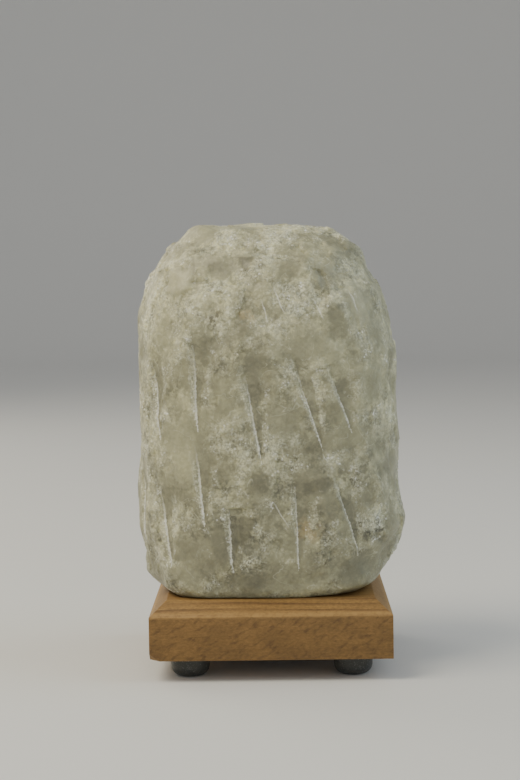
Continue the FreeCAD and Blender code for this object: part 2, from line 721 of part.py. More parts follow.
def make_contacts():
    centre = new_body("centre_contact", CARRIER_UNDER)
    top = "(carrier_thickness + tongue_height)"
    far = "(terminal_offset + contact_width / 2)"
    points = [(f"-{far}", "-contact_strip"), ("-tongue_leg_offset", "-contact_strip"),
              ("-tongue_leg_offset", f"{top} - contact_strip"),
              ("tongue_overhang", f"{top} - contact_strip"), ("tongue_overhang", top),
              ("-tongue_leg_offset - contact_strip", top),
              ("-tongue_leg_offset - contact_strip", "0"), (f"-{far}", "0")]
    pad(centre, outline(centre, "XZ_Plane", points), "contact_width", symmetric=True)

    side = new_body("side_contact", CARRIER_UNDER)
    points = [("side_leg_offset", "-contact_strip"), (far, "-contact_strip"), (far, "0"),
              ("side_leg_offset + contact_strip", "0"),
              ("side_leg_offset + contact_strip", "carrier_thickness"),
              ("side_leg_offset", "carrier_thickness")]
    pad(side, outline(side, "XZ_Plane", points), "contact_width", symmetric=True)
    return [centre, side]


def make_terminals():
    half = "terminal_side / 2"
    blocks = []
    for name, turn in (("terminal_neutral", 0), ("terminal_live", 180)):
        body = new_body(name, TERMINAL_UNDER, turn)
        square = box_points(f"terminal_offset - {half}", f"-{half}", f"terminal_offset + {half}", half)
        pad(body, outline(body, "XY_Plane", square), "terminal_height")
        wire = rings(body, "XZ_Plane", [("terminal_offset", "wire_hole_level", "wire_hole_radius")])
        pocket(body, wire, "2 * terminal_side", symmetric=True)
        screw = rings(body, "XY_Plane", [("terminal_offset", "0", "clamp_screw_radius + fit_gap")])
        pocket(body, screw, "wire_hole_level")
        blocks.append(body)
    return blocks


def make_terminal_screws():
    body = new_body("terminal_screws", f"{TERMINAL_UNDER} - clamp_head_height")
    end = "clamp_head_height + wire_hole_level - wire_hole_radius / 2"
    points = [("0", "0"), ("clamp_head_radius", "0"), ("clamp_head_radius", "clamp_head_height"),
              ("clamp_screw_radius", "clamp_head_height"), ("clamp_screw_radius", end), ("0", end)]
    shaft = revolve(body, outline(body, "XZ_Plane", points, shift_x="terminal_offset"))
    reach = "clamp_head_radius"
    half = "clamp_head_height / 5"
    slot = outline(body, "XY_Plane", box_points(f"-{reach}", f"-{half}", reach, half),
                   shift_x="terminal_offset")
    cut = pocket(body, slot, "clamp_head_height / 2")
    repeat_round(body, [shaft, cut], "2")
    return body


# ---- bulb ------------------------------------------------------------------------------------------

def make_bulb_cap():
    body = new_body("bulb_cap", CAP_UNDER)
    turns = int(size("thread_turns"))
    root = "thread_radius - thread_depth / 2"
    start = "cap_lead"
    collar_foot = f"{start} + {turns} * thread_pitch + thread_depth"
    outside = zigzag(start, "thread_pitch", turns, "thread_radius", "thread_depth")
    inside = zigzag(start, "thread_pitch", turns, "thread_radius", "thread_depth", "-cap_wall")
    points = [("insulator_radius + cap_wall", "0"), (f"{root}", f"{start} / 2"), *outside,
              ("cap_collar_radius", collar_foot), ("cap_collar_radius", "cap_length"),
              ("cap_collar_radius - cap_wall", "cap_length"),
              ("cap_collar_radius - cap_wall", collar_foot), *reversed(inside),
              (f"{root} - cap_wall", f"{start} / 2"), ("insulator_radius", "0")]
    revolve(body, outline(body, "XZ_Plane", points))
    return body


def make_insulator():
    body = new_body("bulb_insulator", f"{CAP_UNDER} - insulator_height")
    top = "insulator_height + insulator_inset"
    points = [("0", "0"), ("tip_radius", "0"), ("insulator_radius", "insulator_height"),
              ("insulator_radius", top), ("0", top)]
    revolve(body, outline(body, "XZ_Plane", points))
    return body


def make_tip():
    body = new_body("bulb_tip", TIP_UNDER)
    points = [("0", "0"), ("tip_radius / 2", "0"), ("tip_radius", "tip_height / 2"),
              ("tip_radius", "tip_height"), ("0", "tip_height")]
    revolve(body, outline(body, "XZ_Plane", points))
    return body


def glass_outline(body):
    """Neck, cone and round end, the same again one wall further in."""
    top = "(neck_inset + glass_height)"
    middle = f"({top} - glass_radius)"
    sine = "sin(glass_shoulder_angle)"
    cosine = "cos(glass_shoulder_angle)"
    points = []
    for round_radius, neck in (("glass_radius", "neck_radius"),
                               ("(glass_radius - glass_wall)", "(neck_radius - glass_wall)")):
        shoulder = (f"{round_radius} * {cosine}", f"{middle} - {round_radius} * {sine}")
        drop = f"({round_radius} * {cosine} - {neck}) * {cosine} / {sine}"
        run = [(neck, "0"), (neck, f"{shoulder[1]} - {drop}"), shoulder,
               ("0", f"{middle} + {round_radius}")]
        points.append((run, round_radius))
    (outer, outer_radius), (inner, inner_radius) = points
    outer[2] = (*outer[2], outer_radius)
    inner = inner[::-1]
    inner[0] = (*inner[0], f"-{inner_radius}")
    return outline(body, "XZ_Plane", outer + inner)


def make_glass():
    body = new_body("bulb_glass", GLASS_UNDER)
    revolve(body, glass_outline(body))
    return body


def make_stem():
    body = new_body("bulb_stem", GLASS_UNDER)
    foot = "neck_radius - glass_wall - fit_gap"
    points = [(f"{foot} - glass_wall", "0"), (foot, "0"), (foot, "stem_flare_height"),
              ("stem_radius", "stem_height / 2"), ("stem_radius", "stem_height"),
              ("0", "stem_height"), ("0", "stem_height / 2"),
              ("stem_radius - glass_wall", "stem_height / 2 - glass_wall")]
    revolve(body, outline(body, "XZ_Plane", points))
    return body


def make_wires():
    """Two lead wires that spread upwards, and the filament that hangs in a zigzag between them."""
    near = size("lead_spacing") / 2
    far = size("lead_spread") / 2
    height = size("lead_height")
    bend = size("stem_radius")
    wires = []
    for side in (-1, 1):
        points = [Vector(side * near, 0, 0), Vector(side * near, 0, bend), Vector(side * far, 0, height)]
        wires.append(wire_tube(points, size("lead_radius")))
    leads = code_made("bulb_lead_wires", Part.makeCompound(wires), f"{GLASS_UNDER} + stem_height")

    level = height - 2 * size("lead_radius")
    slope = (far - near) / (height - bend)
    end = far - (height - level) * slope - size("lead_radius") * math.hypot(1, slope)
    end -= 2 * size("filament_radius") * slope + size("fit_gap")
    points = []
    for step in range(5):
        drop = size("filament_dip") if step % 2 else 0
        points.append(Vector(end * (step / 2 - 1), 0, level - drop))
    filament = wire_tube(points, size("filament_radius"))
    return [leads, code_made("bulb_filament", filament, f"{GLASS_UNDER} + stem_height")]


# ---- the whole lamp --------------------------------------------------------------------------------

def check(items):
    """Stop if any object failed, or a sub-part has no sound shape."""
    for item in doc.Objects:
        if "Invalid" in item.State or "Error" in item.State:
            raise RuntimeError(f"{item.Label} failed: {item.State}")
    for item in items:
        if item.Shape.isNull() or not item.Shape.isValid() or not item.Shape.Solids:
            raise RuntimeError(f"{item.Label} has no sound shape")


def main():
    sub_parts = [make_base(), *make_feet(), make_rock(), make_plugs(), make_crystal_screws(),
                 make_holder_cap(), make_sleeve(), *make_springs(), make_rivets(), make_carrier(),
                 make_shell(), *make_contacts(), *make_terminals(), make_terminal_screws(),
                 make_bulb_cap(), make_insulator(), make_tip(), make_glass(), make_stem(),
                 *make_wires()]
    doc.recompute()
    check(sub_parts)
    os.makedirs(NODE_FOLDER, exist_ok=True)
    for item in sub_parts:
        item.Shape.exportStep(f"{NODE_FOLDER}/{item.Label}.step")
        print(f"{item.Label}: {len(item.Shape.Solids)} solids, {item.Shape.Volume:.1f} mm3")


main()
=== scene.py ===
"""Rock crystal lamp: the looks of its pieces, its stage and its camera.

Sizes here are metres unless a name says otherwise. Front is -Y, up is +Z.
"""
import math

import bmesh
import bpy
import numpy as np
from mathutils import Matrix, Vector, noise
from mathutils.bvhtree import BVHTree


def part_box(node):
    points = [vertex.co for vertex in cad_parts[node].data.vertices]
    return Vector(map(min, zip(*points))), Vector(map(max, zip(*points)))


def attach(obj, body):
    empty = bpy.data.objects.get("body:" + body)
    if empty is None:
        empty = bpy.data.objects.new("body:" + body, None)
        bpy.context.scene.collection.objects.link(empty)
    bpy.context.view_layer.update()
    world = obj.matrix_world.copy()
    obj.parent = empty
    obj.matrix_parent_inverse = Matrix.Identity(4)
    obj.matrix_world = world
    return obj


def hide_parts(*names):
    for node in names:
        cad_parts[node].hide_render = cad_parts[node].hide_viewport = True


bl_info = {
    "name": "Rock crystal lamp",
    "version": (1, 0, 0),
    "blender": (4, 5, 0),
    "location": "View3D > Sidebar > Crystal lamp",
    "description": "Builds the hewn rock, wooden base, feet and fittings of a rock crystal lamp",
    "category": "Object",
}

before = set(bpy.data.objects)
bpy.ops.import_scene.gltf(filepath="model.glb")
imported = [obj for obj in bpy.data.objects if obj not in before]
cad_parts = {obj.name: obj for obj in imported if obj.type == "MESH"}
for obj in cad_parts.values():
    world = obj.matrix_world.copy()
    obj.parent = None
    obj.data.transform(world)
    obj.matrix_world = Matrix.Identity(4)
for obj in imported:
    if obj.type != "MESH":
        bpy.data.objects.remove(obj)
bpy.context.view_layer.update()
ROCK_LOW, ROCK_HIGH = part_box("crystal_block")
BASE_LOW, BASE_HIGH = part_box("base_block")
MM = 0.001
TOUCH = 0.01 * MM

# Chisel marks, within two degrees of the solid rock's: angle round the axis and share of the rock's
# height at the head, then at the pointed foot, and how far above the head the cut runs out (millimetres).
FRONT_MARKS = [
    (234, 0.655, 237, 0.440, 12.0),
    (259, 0.590, 267, 0.350, 16.0),
    (285, 0.600, 296, 0.390, 11.0),
    (302, 0.575, 309, 0.435, 11.0),
    (235, 0.395, 240, 0.190, 12.0),
    (250, 0.240, 251.7, 0.065, 1.5),
    (283, 0.285, 284.3, 0.070, 13.0),
    (303, 0.290, 313, 0.110, 13.0),
]
SIDE_MARK_ANGLES = range(-25, 210, 26)
SIDE_MARK_ROWS = [(0.62, 0.20), (0.30, 0.20)]
MARK_LEAN = 6

# Patches on the rock's front: across and up (millimetres), how far they spread that way, and how much
# lighter (up to 1) or darker (down to -1) the clear ones are, or how thick the frost is.
CLEAR_PATCHES = [
    ((-4.8, 80.2), (5.0, 8.0), -0.15), ((18.6, 81.5), (7.5, 6.0), -0.15), ((34.0, 42.8), (7.0, 8.0), -0.3),
    ((-32.0, 92.0), (5.6, 10.0), 0.35), ((-31.0, 50.0), (9.0, 9.0), 0.1), ((-3.6, 127.7), (6.0, 9.0), -0.35),
    ((13.0, 136.0), (11.0, 6.0), -0.15), ((3.0, 40.0), (18.0, 5.0), -0.3), ((-37.0, 165.0), (5.0, 6.0), 0.5),
    ((-25.0, 155.0), (3.5, 3.5), 0.5), ((-19.4, 170.0), (6.0, 5.0), -0.4), ((37.0, 154.0), (6.0, 8.0), 0.2),
    ((29.0, 148.6), (6.0, 6.0), -0.15), ((-21.0, 86.0), (5.0, 8.0), -0.2), ((8.0, 106.0), (4.0, 5.0), 0.1),
    ((-12.0, 60.0), (4.0, 6.0), -0.3), ((23.0, 68.0), (4.0, 7.0), -0.2), ((8.0, 168.0), (6.0, 5.0), -0.1),
    ((24.0, 166.0), (6.0, 7.0), -0.35), ((32.0, 176.0), (8.0, 4.0), -0.45),
    ((43.0, 120.0), (5.0, 9.0), -0.15),
]
FROSTED_PATCHES = [
    ((3.6, 95.0), (3.6, 6.0), 1.0), ((31.5, 78.0), (3.4, 6.0), 0.9), ((45.5, 66.0), (3.0, 9.0), 1.0),
    ((-41.6, 47.0), (4.0, 1.6), 1.2), ((-9.7, 48.7), (2.2, 2.2), 1.2), ((-30.0, 156.0), (5.0, 5.0), 0.6),
    ((2.4, 178.0), (3.0, 3.5), 0.9), ((33.0, 149.0), (1.8, 2.2), 1.2), ((-40.0, 171.0), (1.3, 1.3), 1.3),
    ((-20.6, 75.0), (5.0, 8.0), 0.6), ((-50.0, 100.0), (5.0, 22.0), 0.5), ((11.0, 155.0), (9.0, 5.0), 0.5),
    ((-23.0, 163.0), (5.0, 3.0), 0.6), ((20.0, 60.0), (5.0, 9.0), 0.5), ((-34.0, 174.0), (5.0, 4.0), 0.5),
]
# Fine white fractures and dark grooves on the front: ends (across, up) in millimetres, how bright.
FRONT_STROKES = [
    ((-2.0, 156.0), (0.6, 146.5), 0.8), ((3.0, 160.5), (7.4, 150.0), 0.8),
    ((19.0, 156.6), (23.4, 147.5), 0.7), ((34.0, 160.0), (37.5, 150.5), 0.5),
    ((-30.1, 174.7), (-29.8, 165.0), -0.8), ((-24.5, 150.5), (-22.5, 131.0), -0.5),
    ((1.5, 74.0), (8.0, 63.0), 0.5), ((-45.0, 88.0), (-43.0, 75.0), -0.5),
    ((22.0, 93.0), (27.0, 86.0), 0.6),
]
# Flat facets on the front: corners (across and up, clockwise), how much lighter, how deep they lie.
FRONT_FACETS = [
    ([(-13.3, 173.9), (-4.2, 173.9), (-8.1, 167.6)], -0.90, 0.5),
    ([(-23.6, 173.3), (-17.1, 171.0), (-13.5, 167.3), (-15.0, 163.5), (-21.4, 164.3), (-24.3, 168.0)],
     -0.20, 0.20),
    ([(-39.8, 168.0), (-31.5, 168.8), (-30.1, 162.0), (-36.6, 157.5), (-42.4, 159.0)], 0.24, -0.15),
    ([(-30.1, 156.0), (-23.6, 155.3), (-24.3, 150.8), (-30.1, 151.5)], 0.24, 0.15),
    ([(-29.4, 187.5), (-20.7, 186.8), (-21.4, 180.0), (-30.1, 179.3)], 0.24, -0.15),
    ([(-12.8, 186.8), (-4.9, 186.4), (-5.6, 183.6), (-12.1, 184.2)], -0.30, 0.20),
    ([(4.5, 179.0), (9.6, 177.8), (8.1, 173.3), (3.1, 174.8)], 0.24, -0.15),
    ([(6.7, 172.4), (13.9, 170.0), (13.2, 164.8), (3.8, 163.9)], -0.17, 0.20),
    ([(21.1, 183.0), (29.8, 181.5), (33.4, 176.3), (25.4, 177.8)], -0.30, 0.20),
    ([(24.0, 150.8), (31.2, 155.3), (34.1, 147.8), (33.4, 140.3), (26.2, 138.8)], -0.30, 0.20),
    ([(34.8, 160.5), (39.9, 158.3), (44.2, 144.8), (38.4, 144.8), (34.8, 153.0)], 0.24, -0.15),
    ([(-38.8, 93.3), (-30.8, 94.8), (-30.1, 81.3), (-34.4, 79.0), (-38.8, 82.8)], 0.24, -0.15),
    ([(-39.5, 78.3), (-31.5, 77.5), (-30.8, 73.0), (-38.8, 73.0)], -0.12, 0.15),
    ([(-7.0, 86.6), (0.2, 85.1), (0.9, 77.6), (-4.9, 76.8), (-7.7, 82.1)], -0.30, 0.20),
    ([(13.2, 82.1), (24.0, 83.6), (27.6, 81.3), (23.3, 76.8), (13.9, 76.1)], -0.33, 0.20),
    ([(-13.1, 68.2), (-3.4, 67.1), (-8.5, 59.6), (-12.8, 50.6)], -0.34, 0.10),
    ([(-24.3, 61.0), (-19.3, 62.6), (-16.4, 55.0), (-18.6, 45.3), (-23.6, 52.8)], -0.20, 0.15),
    ([(29.8, 49.0), (42.0, 49.8), (42.0, 35.6), (29.8, 34.0)], -0.12, 0.17),
]

# The plugs in the rock's underside, and the room that their holes leave them.
PLUG_RADIUS = 3.0 * MM
PLUG_PLAY = 0.05 * MM
HOLE_ABOVE_PLUG = 1.5 * MM

# The wooden base's bevel, how deep its corner is knocked off, and the feet's rounding, in millimetres.
BEVEL_RISE = 6.0
CHIPPED_CORNER = 2.2
FOOT_ROUNDING = 4.2

# How many sides a round shape has, and how often the skin over an old mark is stretched.
BORE_SEGMENTS = 96
PLUG_HOLE_SEGMENTS = 24
FOOT_SEGMENTS = 64
FILL_ROUNDS = 600

# Facets of the broken skin: their size in millimetres, and an offset that sets each net of them apart.
LARGE_FACETS = (14.0, 2.3)
MEDIUM_FACETS = (6.0, 8.1)
SMALL_FACETS = (2.6, 5.7)
CRUMBS = (1.9, 3.3)

# Where the rock's foot is squarer: angle and spread round the axis (degrees), how far out (millimetres).
# The undercut at its front right is in millimetres too.
FOOT_CORNERS = [(227, 15, 5.0), (314, 14, 4.0)]
FOOT_UNDERCUT = 1.5

# Where the rock's outline stands out or in: middle and spread, then how far out, all in millimetres.
OUTLINE_KNOCKS = [
    ((39.0, 0.0, 173.5), (5.0, 16.0, 5.0), 1.6),
    ((-28.0, 0.0, 184.5), (8.0, 24.0, 6.0), 2.8),
    ((-37.5, 0.0, 181.0), (3.0, 14.0, 3.0), -1.2),
    ((-48.0, 0.0, 170.0), (5.0, 16.0, 5.0), -2.2),
    ((57.5, 0.0, 140.0), (4.0, 12.0, 3.0), -1.0),
    ((56.0, 0.0, 62.0), (4.0, 14.0, 6.0), 0.9),
]

# Soft lights: name, place, width, share of the key light's power, colour.
LIGHTS = [
    ("top_left_light", (-0.66, -0.34, 1.16), 0.7, 1.15, (1.0, 0.91, 0.70)),
    ("right_light", (1.0, -0.10, 0.75), 0.9, 0.44, (0.74, 0.89, 1.0)),
    ("front_light", (0.15, -1.6, 0.8), 1.4, 0.42, (1.0, 0.98, 0.94)),
    ("back_light", (-0.85, 0.85, 0.65), 0.8, 0.45, (1.0, 0.93, 0.76)),
]
LIT_PLACE = (0.0, 0.0, 0.10)
ROOM_COLOUR = (0.95, 0.97, 0.98, 1.0)
ROOM_STRENGTH = 0.36
SENSOR_SIZE = 36.0

# The floor: its front edge, where its bend starts and how wide that is, the backdrop's top.
FLOOR_HALF_WIDTH = 3.0
FLOOR_FRONT = -3.0
FLOOR_BACK = 2.2
FLOOR_BEND = 0.8
FLOOR_BEND_STEPS = 16
BACKDROP_TOP = 4.0


# ---- sizes and colours that a user would change ------------------------------------------------------

class RockSettings(bpy.types.PropertyGroup):
    """Form and colours of the hewn rock."""

    skin_grain: bpy.props.FloatProperty(
        name="Skin grain", description="Spacing of the points on the rock's skin",
        default=1.02 * MM, min=0.4 * MM, unit="LENGTH", precision=5)
    lump_height: bpy.props.FloatProperty(
        name="Lump height", description="How far broken lumps stand in or out",
        default=1.3 * MM, unit="LENGTH", precision=5)
    mark_depth: bpy.props.FloatProperty(
        name="Chisel mark depth", description="Depth of a chisel mark at its head",
        default=1.9 * MM, unit="LENGTH", precision=5)
    milky: bpy.props.FloatVectorProperty(
        name="Milky", description="Colour of the cloudy veils in the rock", subtype="COLOR",
        default=(0.535, 0.520, 0.325), min=0, max=1)
    smoky: bpy.props.FloatVectorProperty(
        name="Smoky", description="Colour of the clearer, darker rock", subtype="COLOR",
        default=(0.262, 0.252, 0.165), min=0, max=1)
    frost: bpy.props.FloatVectorProperty(
        name="Frost", description="Colour of freshly broken, grainy rock", subtype="COLOR",
        default=(0.92, 0.92, 0.72), min=0, max=1)
    stain: bpy.props.FloatVectorProperty(
        name="Stain", description="Colour of the ochre stain", subtype="COLOR",
        default=(0.50, 0.36, 0.15), min=0, max=1)
    speck: bpy.props.FloatVectorProperty(
        name="Speck", description="Colour of the dark mineral specks", subtype="COLOR",
        default=(0.060, 0.045, 0.025), min=0, max=1)


class BaseSettings(bpy.types.PropertyGroup):
    """Colours and edges of the wooden base."""

    edge_rounding: bpy.props.FloatProperty(
        name="Edge rounding", description="Rounding of the base's sanded edges",
        default=0.45 * MM, unit="LENGTH", precision=5)
    light_wood: bpy.props.FloatVectorProperty(
        name="Light wood", description="Colour of the early wood", subtype="COLOR",
        default=(0.315, 0.178, 0.052), min=0, max=1)
    dark_wood: bpy.props.FloatVectorProperty(
        name="Dark wood", description="Colour of the late wood rings", subtype="COLOR",
        default=(0.145, 0.072, 0.024), min=0, max=1)
    worn_wood: bpy.props.FloatVectorProperty(
        name="Worn wood", description="Colour of the rubbed upper edges", subtype="COLOR",
        default=(0.46, 0.275, 0.095), min=0, max=1)
    fleck: bpy.props.FloatVectorProperty(
        name="Fleck", description="Colour of the short ray flecks", subtype="COLOR",
        default=(0.080, 0.040, 0.015), min=0, max=1)


class FittingSettings(bpy.types.PropertyGroup):
    """Colours of the feet and the lamp's fittings."""

    # painted shade: the feet's colour is set near black, as they look in the shade under the base; the
    # rubber itself is a pale clear grey
    foot_rubber: bpy.props.FloatVectorProperty(
        name="Foot rubber", description="Colour of the clear grey feet", subtype="COLOR",
        default=(0.060, 0.064, 0.060), min=0, max=1)
    holder_plastic: bpy.props.FloatVectorProperty(
        name="Holder plastic", description="Colour of the lamp holder", subtype="COLOR",
        default=(0.022, 0.022, 0.024), min=0, max=1)
    brass: bpy.props.FloatVectorProperty(
        name="Brass", description="Colour of the contacts", subtype="COLOR",
        default=(0.74, 0.52, 0.20), min=0, max=1)
    steel: bpy.props.FloatVectorProperty(
        name="Steel", description="Colour of springs and screws", subtype="COLOR",
        default=(0.60, 0.60, 0.60), min=0, max=1)
    ceramic: bpy.props.FloatVectorProperty(
        name="Ceramic", description="Colour of the contact carrier", subtype="COLOR",
        default=(0.80, 0.77, 0.69), min=0, max=1)


class StageSettings(bpy.types.PropertyGroup):
    """Floor, lights and camera."""

    floor_colour: bpy.props.FloatVectorProperty(
        name="Floor", description="Colour of the floor and the backdrop", subtype="COLOR",
        default=(0.78, 0.775, 0.76), min=0, max=1)
    lens: bpy.props.FloatProperty(
        name="Lens", description="Focal length of the camera, in millimetres", default=85.0)
    camera_place: bpy.props.FloatVectorProperty(
        name="Camera place", description="Where the camera stands", subtype="TRANSLATION",
        default=(0.0043, -0.7929, 0.1736), unit="LENGTH")
    camera_pan: bpy.props.FloatProperty(
        name="Pan", description="The camera's turn to the left", subtype="ANGLE",
        default=math.radians(0.57))
    camera_tilt: bpy.props.FloatProperty(
        name="Tilt", description="How far the camera looks down", subtype="ANGLE",
        default=math.radians(4.14))
    camera_roll: bpy.props.FloatProperty(
        name="Roll", description="The camera's roll", subtype="ANGLE", default=math.radians(-0.83))
    key_power: bpy.props.FloatProperty(
        name="Key light", description="Power of the light above", default=10.0, unit="POWER")


# ---- finishes ----------------------------------------------------------------------------------------

class Finish:
    """A material made of nodes, with object coordinates in millimetres ready to use."""

    def __init__(self, name):
        self.material = bpy.data.materials.new(name)
        self.material.use_nodes = True
        self.tree = self.material.node_tree
        self.tree.nodes.clear()
        self.shader = self.tree.nodes.new("ShaderNodeBsdfPrincipled")
        output = self.tree.nodes.new("ShaderNodeOutputMaterial")
        self.tree.links.new(self.shader.outputs["BSDF"], output.inputs["Surface"])
        place = self.tree.nodes.new("ShaderNodeTexCoord")
        scaled = self.add("VectorMath", {0: place.outputs["Object"], "Scale": 1 / MM},
                          operation="SCALE")
        self.place = scaled.outputs[0]
        self.normal = self.tree.nodes.new("ShaderNodeNewGeometry").outputs["Normal"]

    def add(self, kind, inputs=None, **settings):
        """A node with its inputs set to values or linked to sockets."""
        made = self.tree.nodes.new(f"ShaderNode{kind}")
        for setting, value in settings.items():
            setattr(made, setting, value)
        for key, value in (inputs or {}).items():
            if isinstance(value, bpy.types.NodeSocket):
                self.tree.links.new(value, made.inputs[key])
            else:
                made.inputs[key].default_value = value
        return made

    def set(self, **inputs):
        """Set or link sockets of the shader: Base_Color stands for the socket Base Color."""
        for key, value in inputs.items():
            socket = self.shader.inputs[key.replace("_", " ")]
            if isinstance(value, bpy.types.NodeSocket):
                self.tree.links.new(value, socket)
            else:
                socket.default_value = value

    def maths(self, operation, first, second=0.0, clamp=False):
        return self.add("Math", {0: first, 1: second}, operation=operation,
                        use_clamp=clamp).outputs[0]

    def plus(self, first, second, clamp=False):
        return self.maths("ADD", first, second, clamp)

    def minus(self, first, second, clamp=False):
        return self.maths("SUBTRACT", first, second, clamp)

    def times(self, first, second, clamp=False):
        return self.maths("MULTIPLY", first, second, clamp)

    def absolute(self, value):
        return self.maths("ABSOLUTE", value)

    def stretch(self, scale, place=None):
        """The place, scaled by its own factor along each axis."""
        return self.add("VectorMath", {0: place or self.place, 1: scale},
                        operation="MULTIPLY").outputs[0]

    def noise(self, scale, detail=4.0, roughness=0.55, distortion=0.0, place=None):
        return self.add("TexNoise", {"Vector": place or self.place, "Scale": scale, "Detail": detail,
                                     "Roughness": roughness, "Distortion": distortion}).outputs["Fac"]

    def cells(self, scale, output="Distance", feature="F1", place=None):
        return self.add("TexVoronoi", {"Vector": place or self.place, "Scale": scale},
                        feature=feature).outputs[output]

    def cell_tone(self, scale, place=None):
        """A chance value between -0.5 and 0.5 for each crumb of a skin of them."""
        chance = self.add("SeparateColor", {0: self.cells(scale, "Color", place=place)}).outputs[0]
        return self.minus(chance, 0.5)

    def ramp(self, value, low, high, dark=0.0, light=1.0):
        """The value, spread from low..high to dark..light, without going past either."""
        spread = self.add("MapRange", {"Value": value, "From Min": low, "From Max": high,
                                       "To Min": dark, "To Max": light}, interpolation_type="SMOOTHSTEP")
        return spread.outputs["Result"]

    def mix(self, share, first, second, blend="MIX"):
        """A colour between two."""
        made = self.tree.nodes.new("ShaderNodeMix")
        made.data_type = "RGBA"
        made.blend_type = blend
        for key, value in ((0, share), (6, first), (7, second)):
            if isinstance(value, bpy.types.NodeSocket):
                self.tree.links.new(value, made.inputs[key])
            elif key == 0:
                made.inputs[key].default_value = value
            else:
                made.inputs[key].default_value = (*value[:3], 1.0)
        return made.outputs[2]

    def shade(self, colour, factor):
        """A colour, made darker or lighter by a factor."""
        grey = self.add("CombineColor", {0: factor, 1: factor, 2: factor}).outputs[0]
        return self.mix(1.0, colour, grey, "MULTIPLY")

    def bend(self, scale, reach_mm):
        """The place, pushed about by up to so many millimetres."""
        sway = self.add("TexNoise", {"Vector": self.place, "Scale": scale, "Detail": 3.0})
        middle = self.add("VectorMath", {0: sway.outputs["Color"], 1: (0.5, 0.5, 0.5)},
                          operation="SUBTRACT").outputs[0]
        push = self.add("VectorMath", {0: middle, "Scale": 2 * reach_mm}, operation="SCALE").outputs[0]
        return self.add("VectorMath", {0: self.place, 1: push}, operation="ADD").outputs[0]

    def crumbs(self, scale, place=None):
        """Height of a skin of flat crumbs, each with a slope of its own."""
        here = place or self.place
        crumb = self.add("TexVoronoi", {"Vector": here, "Scale": scale}, feature="F1")
        offset = self.add("VectorMath", {0: here, 1: crumb.outputs["Position"]},
                          operation="SUBTRACT").outputs[0]
        slope = self.add("VectorMath", {0: crumb.outputs["Color"], 1: (0.5, 0.5, 0.5)},
                         operation="SUBTRACT").outputs[0]
        return self.add("VectorMath", {0: offset, 1: slope}, operation="DOT_PRODUCT").outputs["Value"]

    def attribute(self, name):
        return self.add("Attribute", attribute_name=name).outputs["Fac"]

    def bump(self, height, distance_mm, strength=1.0, below=None):
        """Relief of so many millimetres, on top of an earlier one."""
        inputs = {"Height": height, "Distance": distance_mm * MM, "Strength": strength}
        if below is not None:
            inputs["Normal"] = below
        made = self.add("Bump", inputs).outputs["Normal"]
        self.set(Normal=made)
        return made


def settings():
    return bpy.context.scene


